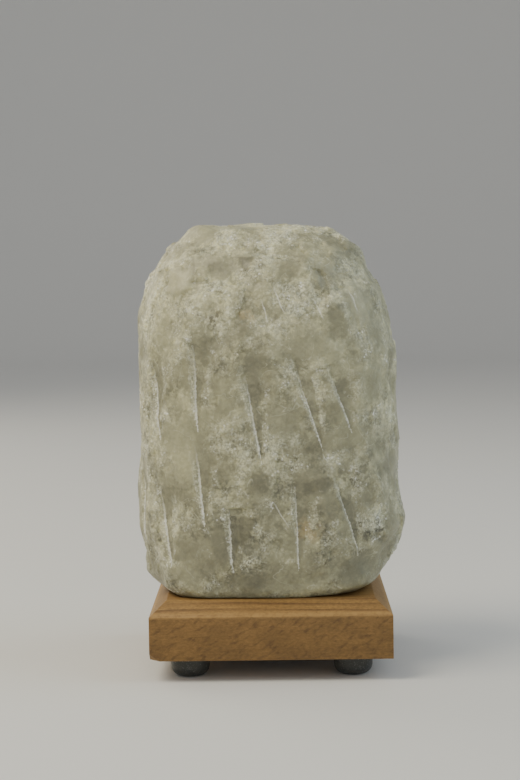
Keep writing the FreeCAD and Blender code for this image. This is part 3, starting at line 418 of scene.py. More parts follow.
def rock_finish():
    """Cloudy translucent rock: smoky and milky veils, granular frost where broken, bright chisel lines."""
    look = settings().lamp_rock
    finish = Finish("cloudy_rock")
    on_floor = finish.attribute("floor")
    on_wall = finish.attribute("wall")
    on_slope = finish.attribute("slope")
    broken = finish.attribute("broken")
    bent = finish.bend(0.25, 1.3)

    # veils inside the rock, large and small
    veils = finish.ramp(finish.noise(0.020, 3, 0.5, 0.8), 0.38, 0.62)
    clouds = finish.ramp(finish.noise(0.075, 5, 0.62, 0.8), 0.36, 0.66)
    cloud = finish.plus(finish.times(veils, 0.24), finish.times(clouds, 0.22))
    cloud = finish.plus(finish.plus(cloud, 0.12), finish.times(broken, 0.30))
    cloud = finish.minus(cloud, finish.times(on_floor, 0.30), clamp=True)
    colour = finish.mix(cloud, look.smoky, look.milky)

    # each crumb of broken rock has its own tone, and a thin bright ledge round it
    tone = finish.plus(finish.times(finish.cell_tone(0.20, bent), 0.26),
                       finish.times(finish.cell_tone(0.46, bent), 0.40))
    tone = finish.plus(tone, finish.ramp(finish.cell_tone(1.00), -0.1, 0.5, -0.08, 0.34))
    tone = finish.times(tone, finish.plus(broken, 0.20, clamp=True))
    tone = finish.plus(tone, finish.times(finish.attribute("tone"), 0.42))
    tone = finish.plus(tone, 1.0)
    colour = finish.shade(colour, tone)
    rim = finish.cells(0.20, "Distance", "DISTANCE_TO_EDGE", bent)
    rim = finish.times(finish.ramp(rim, 0.10, 0.0), finish.ramp(clouds, 0.1, 0.9))
    rim = finish.times(rim, broken)

    # thin white fractures
    crack = finish.absolute(finish.minus(finish.noise(0.050, 3, 0.5, 1.1), 0.5))
    crack = finish.times(finish.ramp(crack, 0.008, 0.0), finish.ramp(clouds, 0.3, 0.9))
    colour = finish.mix(finish.times(crack, 0.30), colour, look.frost)

    # frost: sugar and fine fibres
    gate = finish.plus(finish.times(finish.noise(0.13, 6, 0.72, 0.5), 1.5), finish.times(broken, 0.34))
    gate = finish.plus(gate, finish.times(rim, 0.10))
    gate = finish.plus(gate, finish.times(on_slope, 0.30))
    gate = finish.plus(gate, finish.times(on_wall, 0.50))
    gate = finish.minus(gate, finish.times(on_floor, 0.50))
    gate = finish.ramp(gate, 0.80, 1.30)
    sugar = finish.ramp(finish.noise(1.10, 2, 0.6), 0.52, 0.61)
    upright = finish.noise(1.0, 3, 0.7, 0.4, place=finish.stretch((1.5, 1.5, 0.40)))
    lying = finish.noise(1.0, 3, 0.7, 0.4, place=finish.stretch((0.40, 0.40, 1.5)))
    fibres = finish.maths("MAXIMUM", upright, finish.minus(lying, 0.02))
    fibres = finish.ramp(fibres, 0.53, 0.65)
    fine = finish.maths("MAXIMUM", sugar, finish.times(fibres, 0.95))
    fine = finish.plus(finish.times(fine, 0.66), 0.16)
    frosted = finish.times(gate, fine)
    colour = finish.mix(finish.times(frosted, 0.86), colour, look.frost)

    # painted shade: small dark gaps between the crumbs
    pits = finish.ramp(finish.noise(0.45, 5, 0.72, 0.4), 0.46, 0.32)
    pits = finish.times(pits, finish.ramp(gate, 0.0, 0.6, 0.05, 0.20))
    colour = finish.shade(colour, finish.minus(1.0, pits))

    stained = finish.ramp(finish.noise(0.22, 4, 0.7), 0.40, 0.62)
    stain = finish.times(finish.attribute("stain"), stained)
    colour = finish.mix(finish.times(stain, 0.40), colour, look.stain)
    dots = finish.times(finish.attribute("speck"), finish.ramp(finish.noise(0.62, 3, 0.6), 0.50, 0.60))
    colour = finish.mix(finish.times(dots, 0.60, clamp=True), colour, look.speck)

    # painted glints: near-white spots of colour standing in for the light that single crystals catch
    swarm = finish.ramp(finish.noise(0.16, 4, 0.7), 0.46, 0.62)
    painted_glints = finish.times(finish.ramp(finish.cell_tone(1.4), 0.39, 0.41),
                          finish.times(swarm, finish.ramp(gate, 0.05, 0.5)))
    colour = finish.mix(finish.times(painted_glints, 0.80), colour, (0.98, 0.98, 0.93))

    groove = finish.ramp(finish.absolute(finish.attribute("groove_across")), 0.9, 0.2)
    groove = finish.times(groove, finish.attribute("on_groove"))
    colour = finish.mix(finish.times(groove, 0.55), colour, look.smoky)

    wide = finish.ramp(finish.noise(1.0, 3, 0.7), 0.35, 0.70, 0.25, 0.75)
    away = finish.maths("DIVIDE", finish.absolute(finish.attribute("line_across")), wide)
    line = finish.times(finish.ramp(away, 1.0, 0.45), finish.attribute("on_line"))
    colour = finish.mix(finish.times(line, 0.85), colour, (0.95, 0.95, 0.87))

    rough = finish.ramp(frosted, 0.0, 1.0, 0.46, 0.58)
    rough = finish.minus(rough, finish.times(painted_glints, 0.25))
    finish.set(Base_Color=colour, Roughness=rough, IOR=1.54, Subsurface_Weight=0.75,
               Subsurface_Radius=(1.0, 0.95, 0.78), Subsurface_Scale=11.0 * MM, Coat_Weight=0.08,
               Coat_Roughness=0.22)
    finish.shader.subsurface_method = "RANDOM_WALK"

    calm = finish.ramp(on_floor, 0.0, 1.0, 1.0, 0.15)
    grain = finish.times(calm, finish.ramp(gate, 0, 0.8, 0.30, 1.0))
    swell = finish.bump(finish.times(finish.noise(0.16, 4, 0.6, 0.6), calm), 1.0, 0.6)
    coarse = finish.bump(finish.times(finish.crumbs(0.34, bent), grain), 1.0, 0.8, swell)
    small = finish.bump(finish.times(finish.crumbs(0.95), grain), 0.5, 0.8, coarse)
    finish.bump(finish.times(finish.noise(1.1, 4, 0.72), grain), 0.22, 0.9, small)
    return finish.material


def beech_finish():
    """Beech with its rings running left to right, fine fibres, and short ray flecks on the front."""
    look = settings().lamp_base
    finish = Finish("beech")
    apart = finish.add("SeparateXYZ", {0: finish.place}).outputs
    facing = finish.add("SeparateXYZ", {0: finish.normal}).outputs
    front = finish.ramp(finish.absolute(facing[1]), 0.80, 0.95)

    # yearly rings: pale early wood that darkens to a thin brown line
    sway = finish.noise(0.03, 3, 0.5, place=finish.stretch((0.35, 1, 1)))
    leaning = finish.plus(apart[1], finish.times(apart[2], 0.45))
    leaning = finish.plus(leaning, finish.times(sway, 7.0))
    ring = finish.maths("FRACT", finish.maths("DIVIDE", leaning, 3.3))
    late = finish.times(finish.ramp(ring, 0.35, 0.92), finish.ramp(ring, 1.0, 0.95))
    strength = finish.ramp(finish.noise(0.12, 2, 0.5, place=finish.stretch((0.10, 1, 1))), 0.35, 0.65)
    late = finish.times(late, finish.plus(finish.times(strength, 0.75), 0.20))
    late = finish.times(late, finish.minus(1.0, finish.times(front, 0.85)))
    fibres = finish.noise(1.0, 4, 0.65, place=finish.stretch((0.07, 1.3, 1.3)))
    fuzz = finish.noise(1.3, 3, 0.7, place=finish.stretch((0.5, 1.0, 1.0)))
    pores = finish.ramp(finish.noise(1.0, 2, 0.5, place=finish.stretch((0.16, 2.2, 2.2))), 0.60, 0.72)
    wood = finish.mix(late, look.light_wood, look.dark_wood)
    wood = finish.mix(finish.times(finish.ramp(fibres, 0.35, 0.68), 0.34), wood, look.dark_wood)
    wood = finish.mix(finish.times(pores, 0.35), wood, look.dark_wood)

    # the front is cut along the rays: an even brown with short flecks that rise to the right
    even = finish.mix(0.52, look.light_wood, look.dark_wood)
    wood = finish.mix(finish.times(front, 0.55), wood, even)
    turned = finish.add("VectorRotate", {"Vector": finish.place, "Angle": math.radians(32)},
                        rotation_type="Y_AXIS").outputs[0]
    flecks = finish.noise(1.0, 3, 0.55, 0.3, place=finish.stretch((0.20, 0.3, 0.62), turned))
    flecks = finish.times(finish.ramp(flecks, 0.50, 0.68), front)
    wood = finish.mix(finish.times(flecks, 0.48), wood, look.fleck)
    clouds = finish.noise(0.14, 2, 0.5, place=finish.stretch((0.5, 1, 1)))
    clouds = finish.times(finish.ramp(clouds, 0.35, 0.65, 0.24, 0.08), front)
    wood = finish.shade(wood, finish.minus(1.0, clouds))
    wood = finish.shade(wood, finish.ramp(fuzz, 0.30, 0.70, 0.80, 1.18))

    # the ends are end grain, paler on their bevels
    end_grain = finish.ramp(finish.absolute(facing[0]), 0.55, 0.75)
    streaks = finish.noise(1.0, 3, 0.6, place=finish.stretch((0.9, 0.10, 0.9)))
    pale = finish.mix(streaks, look.light_wood, (0.50, 0.37, 0.20))
    wood = finish.mix(finish.times(end_grain, 0.45), wood, pale)

    # the upper edges are worn pale
    bevel_foot = BASE_HIGH.z / MM - BEVEL_RISE
    from_edge = finish.absolute(finish.minus(apart[2], bevel_foot + 0.5))
    worn = finish.times(finish.ramp(from_edge, 1.5, 0.3),
                        finish.ramp(finish.noise(0.35, 4, 0.7), 0.35, 0.60, 0.35, 1.0))
    wood = finish.mix(finish.times(worn, 0.60), wood, look.worn_wood)

    # the lower front left corner is dirty from knocks
    corner = (BASE_LOW.x / MM, BASE_LOW.y / MM, BASE_LOW.z / MM)
    from_corner = finish.add("VectorMath", {0: finish.place, 1: corner},
                             operation="DISTANCE").outputs["Value"]
    dirt = finish.times(finish.ramp(from_corner, 11.0, 2.0),
                        finish.ramp(finish.noise(0.4, 4, 0.7), 0.35, 0.62))
    wood = finish.mix(finish.times(dirt, 0.55), wood, look.fleck)

    finish.set(Base_Color=wood, Roughness=finish.ramp(fibres, 0.2, 0.8, 0.50, 0.66), IOR=1.46)
    relief = finish.bump(fibres, 0.20, 0.6)
    relief = finish.bump(fuzz, 0.12, 0.6, relief)
    finish.bump(finish.times(pores, -1.0), 0.12, 0.6, relief)
    return finish.material


def rubber_finish():
    """Clear grey rubber with dust on it; its colour is set near black as painted shade, the shade under the
    base.
    """
    finish = Finish("shaded_clear_grey_rubber")
    colour = settings().lamp_fittings.foot_rubber
    cloud = finish.noise(0.35, 4)
    dust = finish.ramp(finish.noise(2.2, 3, 0.7), 0.58, 0.72)
    body = finish.mix(cloud, [value * 0.8 for value in colour], colour)
    finish.set(Base_Color=finish.mix(finish.times(dust, 0.35), body, (0.8, 0.8, 0.77)),
               Roughness=finish.ramp(cloud, 0.2, 0.8, 0.34, 0.50), IOR=1.45, Subsurface_Weight=0.9,
               Subsurface_Radius=(1.0, 1.0, 0.95), Subsurface_Scale=3 * MM)
    finish.bump(finish.noise(1.4, 3), 0.10, 0.5)
    return finish.material


def metal_finish(name, colour, roughness, along=(0.08, 1.2, 1.2)):
    """Drawn or rolled metal, with streaks along it and a little tarnish."""
    finish = Finish(name)
    streaks = finish.noise(1.6, 4, 0.6, place=finish.stretch(along))
    tarnish = finish.ramp(finish.noise(0.28, 5, 0.65), 0.45, 0.75)
    dark = [value * 0.62 for value in colour]
    body = finish.mix(finish.times(tarnish, 0.5), colour, dark)
    finish.set(Base_Color=body, Metallic=1.0,
               Roughness=finish.ramp(streaks, 0.25, 0.75, roughness * 0.75, roughness * 1.3))
    finish.bump(streaks, 0.05, 0.4)
    return finish.material


def plastic_finish(name, colour, roughness, relief=0.08):
    """Moulded plastic with a fine grain and faint rubbing marks."""
    finish = Finish(name)
    grain = finish.noise(2.6, 3, 0.6)
    rubbed = finish.ramp(finish.noise(0.18, 5, 0.7), 0.50, 0.75)
    pale = [min(1.0, value * 1.35 + 0.012) for value in colour]
    finish.set(Base_Color=finish.mix(rubbed, colour, pale),
               Roughness=finish.ramp(grain, 0.2, 0.8, roughness * 0.85, roughness * 1.1), IOR=1.5)
    finish.bump(grain, relief, 0.5)
    return finish.material


def ceramic_finish():
    """Unglazed ceramic with fine pits."""
    finish = Finish("unglazed_ceramic")
    colour = settings().lamp_fittings.ceramic
    pits = finish.ramp(finish.noise(1.3, 5, 0.7), 0.58, 0.68)
    cloud = finish.noise(0.2, 3)
    body = finish.mix(cloud, colour, [value * 0.9 for value in colour])
    finish.set(Base_Color=finish.mix(finish.times(pits, 0.3), body, (0.45, 0.41, 0.34)), Roughness=0.72,
               IOR=1.5)
    finish.bump(finish.times(pits, -1.0), 0.12, 0.6)
    return finish.material


def glass_finish(name, tint, weight=0.94):
    """Clear glass, faintly uneven from blowing."""
    finish = Finish(name)
    sway = finish.noise(0.10, 2, 0.4)
    finish.set(Base_Color=finish.mix(sway, tint, [value * 0.97 for value in tint]),
               Roughness=finish.ramp(sway, 0.2, 0.8, 0.01, 0.04), IOR=1.5, Transmission_Weight=weight)
    finish.bump(sway, 0.25, 0.25)
    return finish.material


def floor_finish():
    """Pale painted floor, with hardly any texture."""
    finish = Finish("pale_floor")
    colour = settings().lamp_stage.floor_colour
    cloud = finish.noise(0.012, 3, 0.5)
    finish.set(Base_Color=finish.mix(cloud, colour, [value * 0.985 for value in colour]),
               Roughness=0.62)
    return finish.material


# ---- making and placing pieces -----------------------------------------------------------------------

def new_object(name, data):
    item = bpy.data.objects.new(name, data)
    bpy.context.scene.collection.objects.link(item)
    return item


def write_back(shape, mesh):
    """Put an edited shape into its mesh, and let go of the shape."""
    shape.to_mesh(mesh)
    shape.free()


def apply_modifiers(item):
    """Keep what the modifiers made, as plain mesh."""
    depsgraph = bpy.context.evaluated_depsgraph_get()
    made = bpy.data.meshes.new_from_object(item.evaluated_get(depsgraph),
                                           preserve_all_data_layers=True, depsgraph=depsgraph)
    item.modifiers.clear()
    old = item.data
    item.data = made
    bpy.data.meshes.remove(old)


def place_on(item, body, slot, *nodes):
    """Let a piece ride on its body and stand for its solids; the slot is not used."""
    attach(item, body)
    if nodes:
        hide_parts(*nodes)


def dress(node, material):
    """Give a solid that keeps its shape a better finish."""
    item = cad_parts[node]
    item.data.materials.clear()
    item.data.materials.append(material)
    return item


def smooth_but_for_edges(mesh, degrees):
    mesh.shade_smooth()
    mesh.set_sharp_from_angle(angle=math.radians(degrees))


def points_of(mesh):
    places = np.empty(len(mesh.vertices) * 3)
    mesh.vertices.foreach_get("co", places)
    return places.reshape(-1, 3)


def smooth_step(values, low, high):
    part = np.clip((values - low) / (high - low), 0.0, 1.0)
    return part * part * (3 - 2 * part)


# ---- rock --------------------------------------------------------------------------------------------

def height_share(places):
    """How far up the rock each point is, from 0 at its foot to 1 at its top."""
    return (places[:, 2] - ROCK_LOW.z) / (ROCK_HIGH.z - ROCK_LOW.z)


def outward_from_axis(places):
    return places[:, :2] / np.maximum(np.hypot(places[:, 0], places[:, 1]), MM)[:, None]


def unevenness(ring, column):
    """A fixed number from -1 to 1, as in the solid rock."""
    wave = math.sin(12.9898 * column + 78.233 * ring + 4.1) * 43758.5453
    return 2 * (wave - math.floor(wave)) - 1


def all_marks():
    """Every chisel mark: the eight on the front, and two rows round the other sides."""
    marks = list(FRONT_MARKS)
    for row, (head, length) in enumerate(SIDE_MARK_ROWS):
        for number, angle in enumerate(SIDE_MARK_ANGLES):
            wander = unevenness(row + 60, number)
            middle = angle + 13 * row + MARK_LEAN * wander
            lift = 0.03 * unevenness(row + 80, number)
            marks.append((middle - MARK_LEAN / 2, head + lift, middle + MARK_LEAN / 2,
                          head + lift - length, 8.0 + 3.0 * wander))
    return marks


def rock_cavity():
    """Radius and top of the bore, read from the solid rock."""
    places = points_of(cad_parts["crystal_block"].data)
    reach = np.hypot(places[:, 0], places[:, 1])
    radius = reach[places[:, 2] < ROCK_LOW.z + TOUCH].min()
    on_wall = np.abs(reach - radius) < TOUCH
    return radius, places[on_wall, 2].max()


def bare_rock():
    """The solid rock's outer skin, closed over its bore and plug holes."""
    radius, top = rock_cavity()
    plug_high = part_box("wall_plugs")[1]
    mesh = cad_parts["crystal_block"].data.copy()
    shape = bmesh.new()
    shape.from_mesh(mesh)
    bmesh.ops.remove_doubles(shape, verts=shape.verts, dist=TOUCH)
    inner = []
    for face in shape.faces:
        centre = face.calc_center_median()
        reach = math.hypot(centre.x, centre.y)
        in_bore = reach < radius * 1.01 and centre.z < top + TOUCH
        in_plug_hole = reach < plug_high.x * 1.6 and centre.z < plug_high.z + 3 * MM
        if in_bore or in_plug_hole or centre.z < ROCK_LOW.z + TOUCH:
            inner.append(face)
    bmesh.ops.delete(shape, geom=inner, context="FACES")
    loose = [vert for vert in shape.verts if not vert.link_faces]
    bmesh.ops.delete(shape, geom=loose, context="VERTS")
    bmesh.ops.holes_fill(shape, edges=[edge for edge in shape.edges if edge.is_boundary], sides=0)
    bmesh.ops.recalc_face_normals(shape, faces=shape.faces)
    write_back(shape, mesh)
    mesh.materials.clear()
    return mesh


def even_out(item, grain):
    """Cover the piece with an even net of points."""
    net = item.modifiers.new("even_grain", "REMESH")
    net.mode = "VOXEL"
    net.voxel_size = grain
    apply_modifiers(item)


def soften(item, rounds):
    soft = item.modifiers.new("soften", "SMOOTH")
    soft.factor = 0.5
    soft.iterations = rounds
    apply_modifiers(item)


def skin_finder(mesh):
    """A function that gives the skin's point at an angle and height, seen from the axis."""
    tree = BVHTree.FromPolygons([vertex.co.copy() for vertex in mesh.vertices],
                                [polygon.vertices[:] for polygon in mesh.polygons])

    def find(angle, share):
        height = ROCK_LOW.z + share * (ROCK_HIGH.z - ROCK_LOW.z)
        outward = Vector((math.cos(math.radians(angle)), math.sin(math.radians(angle)), 0))
        place = tree.ray_cast(outward * 0.2 + Vector((0, 0, height)), -outward)[0]
        return place, outward
    return find


def fill_old_marks(mesh):
    """Push the skin out where the solid has its plain chisel marks, so that they can be cut anew."""
    find = skin_finder(mesh)
    angle_step, share_step = 0.5, 0.006
    angles = np.arange(0, 360, angle_step)
    shares = np.arange(0.03, 0.78, share_step)
    reach = np.array([[find(angle, share)[0].xy.length for angle in angles] for share in shares])
    inside = np.zeros(reach.shape, dtype=bool)
    for head_angle, head, foot_angle, foot, _ in all_marks():
        part = (shares - foot) / (head - foot)
        wide = np.clip(part, 0, 1)
        middle = foot_angle + wide * (head_angle - foot_angle)
        aside = (angles[None, :] - middle[:, None] + 180) % 360 - 180
        beside = (aside > -(1.5 + 4.0 * wide)[:, None]) & (aside < (1.5 + 10.5 * wide)[:, None])
        inside |= beside & ((shares > foot - 0.01) & (shares < head + 0.03))[:, None]

    # stretch a skin over each mark, from the sound rock round it
    whole = reach.copy()
    for _ in range(FILL_ROUNDS):
        padded = np.pad(whole, ((1, 1), (0, 0)), mode="edge")
        around = np.roll(whole, 1, axis=1) + np.roll(whole, -1, axis=1) + padded[:-2] + padded[2:]
        whole[inside] = around[inside] / 4
    missing = np.maximum(whole - reach, 0)

    places = points_of(mesh)
    share = height_share(places)
    row = np.rint((share - shares[0]) / share_step).astype(int)
    turn = np.degrees(np.arctan2(places[:, 1], places[:, 0]))
    column = np.rint(turn / angle_step).astype(int) % len(angles)
    beside = (row >= 0) & (row < len(shares)) & (np.hypot(places[:, 0], places[:, 1]) > 30 * MM)
    out = np.where(beside, missing[np.clip(row, 0, len(shares) - 1), column], 0.0)
    places[:, :2] += outward_from_axis(places) * out[:, None]
    mesh.vertices.foreach_set("co", places.ravel())
    mesh.update()


class ChiselMark:
    """One chisel mark on the skin: a steep wall on its left, a fine line, a floor, a broken slope."""

    WALL = 2.7
    FLOOR = 5.6
    SLOPE = 12.0

    def __init__(self, find, mark, number):
        head_angle, head_share, foot_angle, foot_share, run_out = mark
        foot, foot_out = find(foot_angle, foot_share)
        head, head_out = find(head_angle, head_share)
        up = head - foot
        self.length = up.length / MM
        up.normalize()
        outward = foot_out + head_out
        outward -= outward.project(up)
        outward.normalize()
        self.foot = np.array(foot)
        self.up = np.array(up)
        self.outward = np.array(outward)
        self.right = np.array(up.cross(outward))
        self.number = number
        ledge = run_out < 3
        self.fades_from = 1.0 if ledge else 0.72
        self.fades_over = run_out + (1 - self.fades_from) * self.length

    def measure(self, places):
        """Along (0 at the foot, 1 at the head) and across, how wide wall, floor and slope are there
        (millimetres like across), and how much of the cut is left (0 to 1)."""
        offset = (places - self.foot) / MM
        along = offset @ self.up / self.length
        across = offset @ self.right
        off_plane = np.abs(offset @ self.outward)
        ragged = np.sin(along * 23 + self.number * 1.7) + np.sin(along * 51 + self.number * 4.1) * 0.6
        spread = np.clip(along, 0.0, 1.15) ** 0.9
        wall = self.WALL * spread + 0.01
        floor = (self.FLOOR + 0.5 * ragged) * spread + 0.01
        slope = (self.SLOPE + 1.1 * ragged) * spread + 0.02
        fading = (along - self.fades_from) * self.length / self.fades_over
        fade = 1 - smooth_step(fading, 0.0, 1.0)
        near = (along > -0.05) & (off_plane < 14) & (fade > 0)
        return along, across, wall, floor, slope, fade * near

    def depths(self, places, deepest):
        """Depth of the cut at each point, and how much of wall, floor and slope each point is."""
        along, across, wall, floor, slope, fade = self.measure(places)
        full = deepest * np.clip(along / 0.8, 0, 1) ** 0.85 * fade
        left = np.clip(1 + across / wall, 0, 1) ** 1.4
        frost_left = np.clip(1 + across / (2.4 * wall), 0, 1)
        level = 1 - 0.20 * np.clip(across / floor, 0, 1)
        rising = 0.80 * (1 - smooth_step((across - floor) / (slope - floor), 0.0, 1.0))
        profile = np.where(across < 0, left, np.where(across < floor, level, rising))
        inside = fade * (along > 0)
        footward = 1.1 - 0.70 * np.clip(along, 0, 1)
        on_wall = inside * footward * (across < 0) * smooth_step(frost_left, 0.0, 0.9)
        on_floor = inside * smooth_step(across, 0.0, 0.5) * (1 - smooth_step(across - floor, -0.9, 0.3))
        on_slope = inside * footward * smooth_step(across - floor, -0.6, 0.8)
        on_slope *= 1 - smooth_step(across - slope, -2.5, 1.0)
        return full * profile, on_wall, on_floor, on_slope, along, across


def refine_lines(mesh, marks):
    """Put more points where the fine lines and steep walls of the marks will be."""
    places = points_of(mesh)
    wanted = np.zeros(len(places), dtype=bool)
    for mark in marks:
        along, across, *_, fade = mark.measure(places)
        wanted |= (fade > 0.2) & (across > -3.4) & (across < 1.8) & (along > 0)
    shape = bmesh.new()
    shape.from_mesh(mesh)
    shape.verts.ensure_lookup_table()
    edges = [edge for edge in shape.edges if all(wanted[vert.index] for vert in edge.verts)]
    bmesh.ops.subdivide_edges(shape, edges=edges, cuts=1, use_grid_fill=True)
    write_back(shape, mesh)
    mesh.update()


def broken_facet(here, size, offset):
    """Height and tone of the broken skin here: each crumb is a plane with a slope and tone of its own.

    noise_vector is seeded by the clock, so the slopes differ a little from one run to the next.
    """
    place = here / size + Vector((offset, offset, offset))
    centre = noise.voronoi(place)[1][0]
    slope = noise.noise_vector(centre * 3.7)
    tone = math.sin(centre.dot(Vector((12.9898, 78.233, 37.719))))
    return slope.dot(place - centre) * 1.5 + noise.noise(centre * 5.1), tone


def cut_marks(places, marks, deepest):
    """Depth and direction of the cut at each point, its zones, and the bright line along each mark."""
    depth = np.zeros(len(places))
    inward = np.zeros((len(places), 3))
    zones = np.zeros((3, len(places)))
    line_across = np.full(len(places), 99.0)
    on_line = np.zeros(len(places))
    for mark in marks:
        cut, on_wall, on_floor, on_slope, along, across = mark.depths(places, deepest)
        deeper = cut > depth
        depth = np.where(deeper, cut, depth)
        inward[deeper] = -mark.outward
        zones = np.where(deeper, [on_wall, on_floor, on_slope], zones)
        beside = deeper | ((np.abs(across) < 2.5) & (along > -0.02) & (along < 1.3) & (cut > 0))
        line_across = np.where(beside & (np.abs(across) < np.abs(line_across)), across, line_across)
        on_line = np.where(beside & (np.abs(across) < 2.5), np.clip(1.1 - along, 0, 1) * 2.2, on_line)
        # bring the points beside the line onto it, so that the cut's edge is crisp
        close = (np.abs(across) < 0.30) & (along > 0) & (along < 1.05) & (cut > 0)
        places[close] -= (mark.right[None, :] * across[close, None]) * MM
    return depth, inward, zones, line_across, on_line


def broken_lumps(places, upper, clear, frosted):
    """How far lumps and facets push each point out, how grainy it is, and its tone."""
    push, broken, tone = np.empty((3, len(places)))
    for index, place in enumerate(places):
        here = Vector(place) / MM
        patch = noise.fractal(here * 0.055 + Vector((7, 3, 1)), 0.7, 2.1, 4)
        large, large_tone = broken_facet(here, *LARGE_FACETS)
        medium, medium_tone = broken_facet(here, *MEDIUM_FACETS)
        small, small_tone = broken_facet(here, *SMALL_FACETS)
        grainy = min(1.0, max(0.0, 0.38 + 0.9 * patch + 0.26 * upper[index]))
        grainy = grainy * (1 - clear[index]) + frosted[index]
        broken[index] = grainy
        tone[index] = 0.35 * large_tone + 0.45 * medium_tone + 0.20 * small_tone
        grainy = min(grainy, 1.0)
        rough = 0.35 + 0.65 * max(grainy, 0.9 * upper[index])
        push[index] = rough * (0.60 * large + 0.50 * medium) + 0.32 * grainy * small - 0.15
    return push, broken, tone


def shape_foot(moved, places):
    """Make the foot squarer at its front corners, and break it away underneath at the front right."""
    low = 1 - smooth_step(places[:, 2] - ROCK_LOW.z, 2 * MM, 16 * MM)
    turn = np.degrees(np.arctan2(places[:, 1], places[:, 0])) % 360
    fuller = low * sum(out * np.exp(-((turn - angle) / spread) ** 2)
                       for angle, spread, out in FOOT_CORNERS)
    moved[:, :2] += outward_from_axis(places) * (fuller * MM)[:, None]
    lift = smooth_step(places[:, 0], 14 * MM, 40 * MM) * smooth_step(-places[:, 1], 15 * MM, 36 * MM)
    low = 1 - smooth_step(places[:, 2] - ROCK_LOW.z, 0.0, 7 * MM)
    moved[:, 2] += lift * low * FOOT_UNDERCUT * MM


def break_skin(mesh, marks):
    """Turn the even skin into broken rock, cut the marks, and note where it is grainy or smooth."""
    look = settings().lamp_rock
    places = points_of(mesh)
    normals = np.empty(len(mesh.vertices) * 3)
    mesh.vertices.foreach_get("normal", normals)
    normals = normals.reshape(-1, 3)

    depth, inward, zones, line_across, on_line = cut_marks(places, marks, look.mark_depth / MM)
    on_wall, on_floor, on_slope = zones
    share = height_share(places)
    held = smooth_step(places[:, 2] - ROCK_LOW.z, 0.2 * MM, 4 * MM)
    clear, clear_tone, frosted = front_patches(places)
    covered, facet_tone, facet_depth = front_facets(places)
    clear = np.maximum(clear, 0.8 * covered)
    push, broken, tone = broken_lumps(places, smooth_step(share, 0.58, 0.80), clear, frosted)
    calm = (1 - 0.88 * on_floor - 0.55 * on_wall) * (1 - 0.8 * covered)
    tone = tone * (0.40 + 0.60 * np.clip(broken, 0, 1)) * (1 - 0.8 * covered) + clear_tone + facet_tone
    tone -= 0.42 * (1 - smooth_step(share, 0.15, 0.65))
    on_floor = np.maximum(on_floor, np.clip(-0.9 * facet_tone, 0, 1))
    bare = (covered > 0.02) & (depth < 0.3)
    inward[bare] = (0, 1, 0)
    depth = np.where(bare, depth + facet_depth, depth)
    line_across, on_line, groove_across, on_groove = front_strokes(places, line_across, on_line)
    crumbs = np.array([broken_facet(Vector(place) / MM, *CRUMBS)[0] if slope > 0.1 else 0.0
                       for place, slope in zip(places, on_slope)])
    push = push * calm * look.lump_height + 0.34 * crumbs * on_slope * MM
    moved = places + normals * (push * held)[:, None] + inward * (depth * MM)[:, None]

    for middle, spread, out in OUTLINE_KNOCKS:
        away = np.sum(((places / MM - middle) / spread) ** 2, axis=1)
        moved += normals * (out * np.exp(-away) * MM)[:, None]

    shape_foot(moved, places)
    moved[:, 2] = np.clip(moved[:, 2], ROCK_LOW.z, ROCK_HIGH.z)
    mesh.vertices.foreach_set("co", moved.ravel())
    for name, values in (("broken", broken), ("wall", on_wall), ("floor", on_floor),
                         ("slope", on_slope), ("tone", tone), ("line_across", line_across),
                         ("on_line", np.clip(on_line, 0, 1)), ("groove_across", groove_across),
                         ("on_groove", on_groove)):
        store(mesh, name, values)
    mesh.update()


def facing_front(places):
    return smooth_step(-places[:, 1], 6 * MM, 20 * MM)


def front_patches(places):
    """Clear patches, how light those are, and extra frost, for each point of the rock."""
    across, up = places[:, 0] / MM, places[:, 2] / MM
    clear = np.zeros(len(places))
    tone = np.zeros(len(places))
    frosted = np.zeros(len(places))
    for (x, z), (wide, high), lighter in CLEAR_PATCHES:
        amount = np.exp(-(((across - x) / wide) ** 2 + ((up - z) / high) ** 2) ** 1.5)
        clear = np.maximum(clear, amount)
        tone += lighter * amount
    for (x, z), (wide, high), thick in FROSTED_PATCHES:
        frosted = np.maximum(frosted, thick * np.exp(-((across - x) / wide) ** 2 - ((up - z) / high) ** 2))
    front = facing_front(places)
    return clear * front, tone * front, frosted * front


def front_strokes(places, line_across, on_line):
    """Add the fine fractures to the lines, and measure the dark grooves."""
    flat = places[:, [0, 2]] / MM
    front = facing_front(places)
    groove_across = np.full(len(places), 99.0)
    on_groove = np.zeros(len(places))
    for start, end, bright in FRONT_STROKES:
        start, end = np.array(start), np.array(end)
        length = np.linalg.norm(end - start)
        run = (end - start) / length
        along = (flat - start) @ run / length
        across = (flat - start) @ np.array((run[1], -run[0])) + 0.15 * np.sin(along * 9 + length)
        strength = abs(bright) * smooth_step(along, -0.05, 0.25) * front
        strength *= 1 - smooth_step(along, 0.75, 1.05)
        if bright > 0:
            here = (np.abs(across) < np.abs(line_across)) & (np.abs(across) < 2.5) & (strength > 0)
            line_across = np.where(here, 1.5 * across, line_across)
            on_line = np.where(here, strength, on_line)
        else:
            here = (np.abs(across) < 3.0) & (strength > 0)
            groove_across = np.where(here, across, groove_across)
            on_groove = np.where(here, strength, on_groove)
    return line_across, on_line, groove_across, on_groove


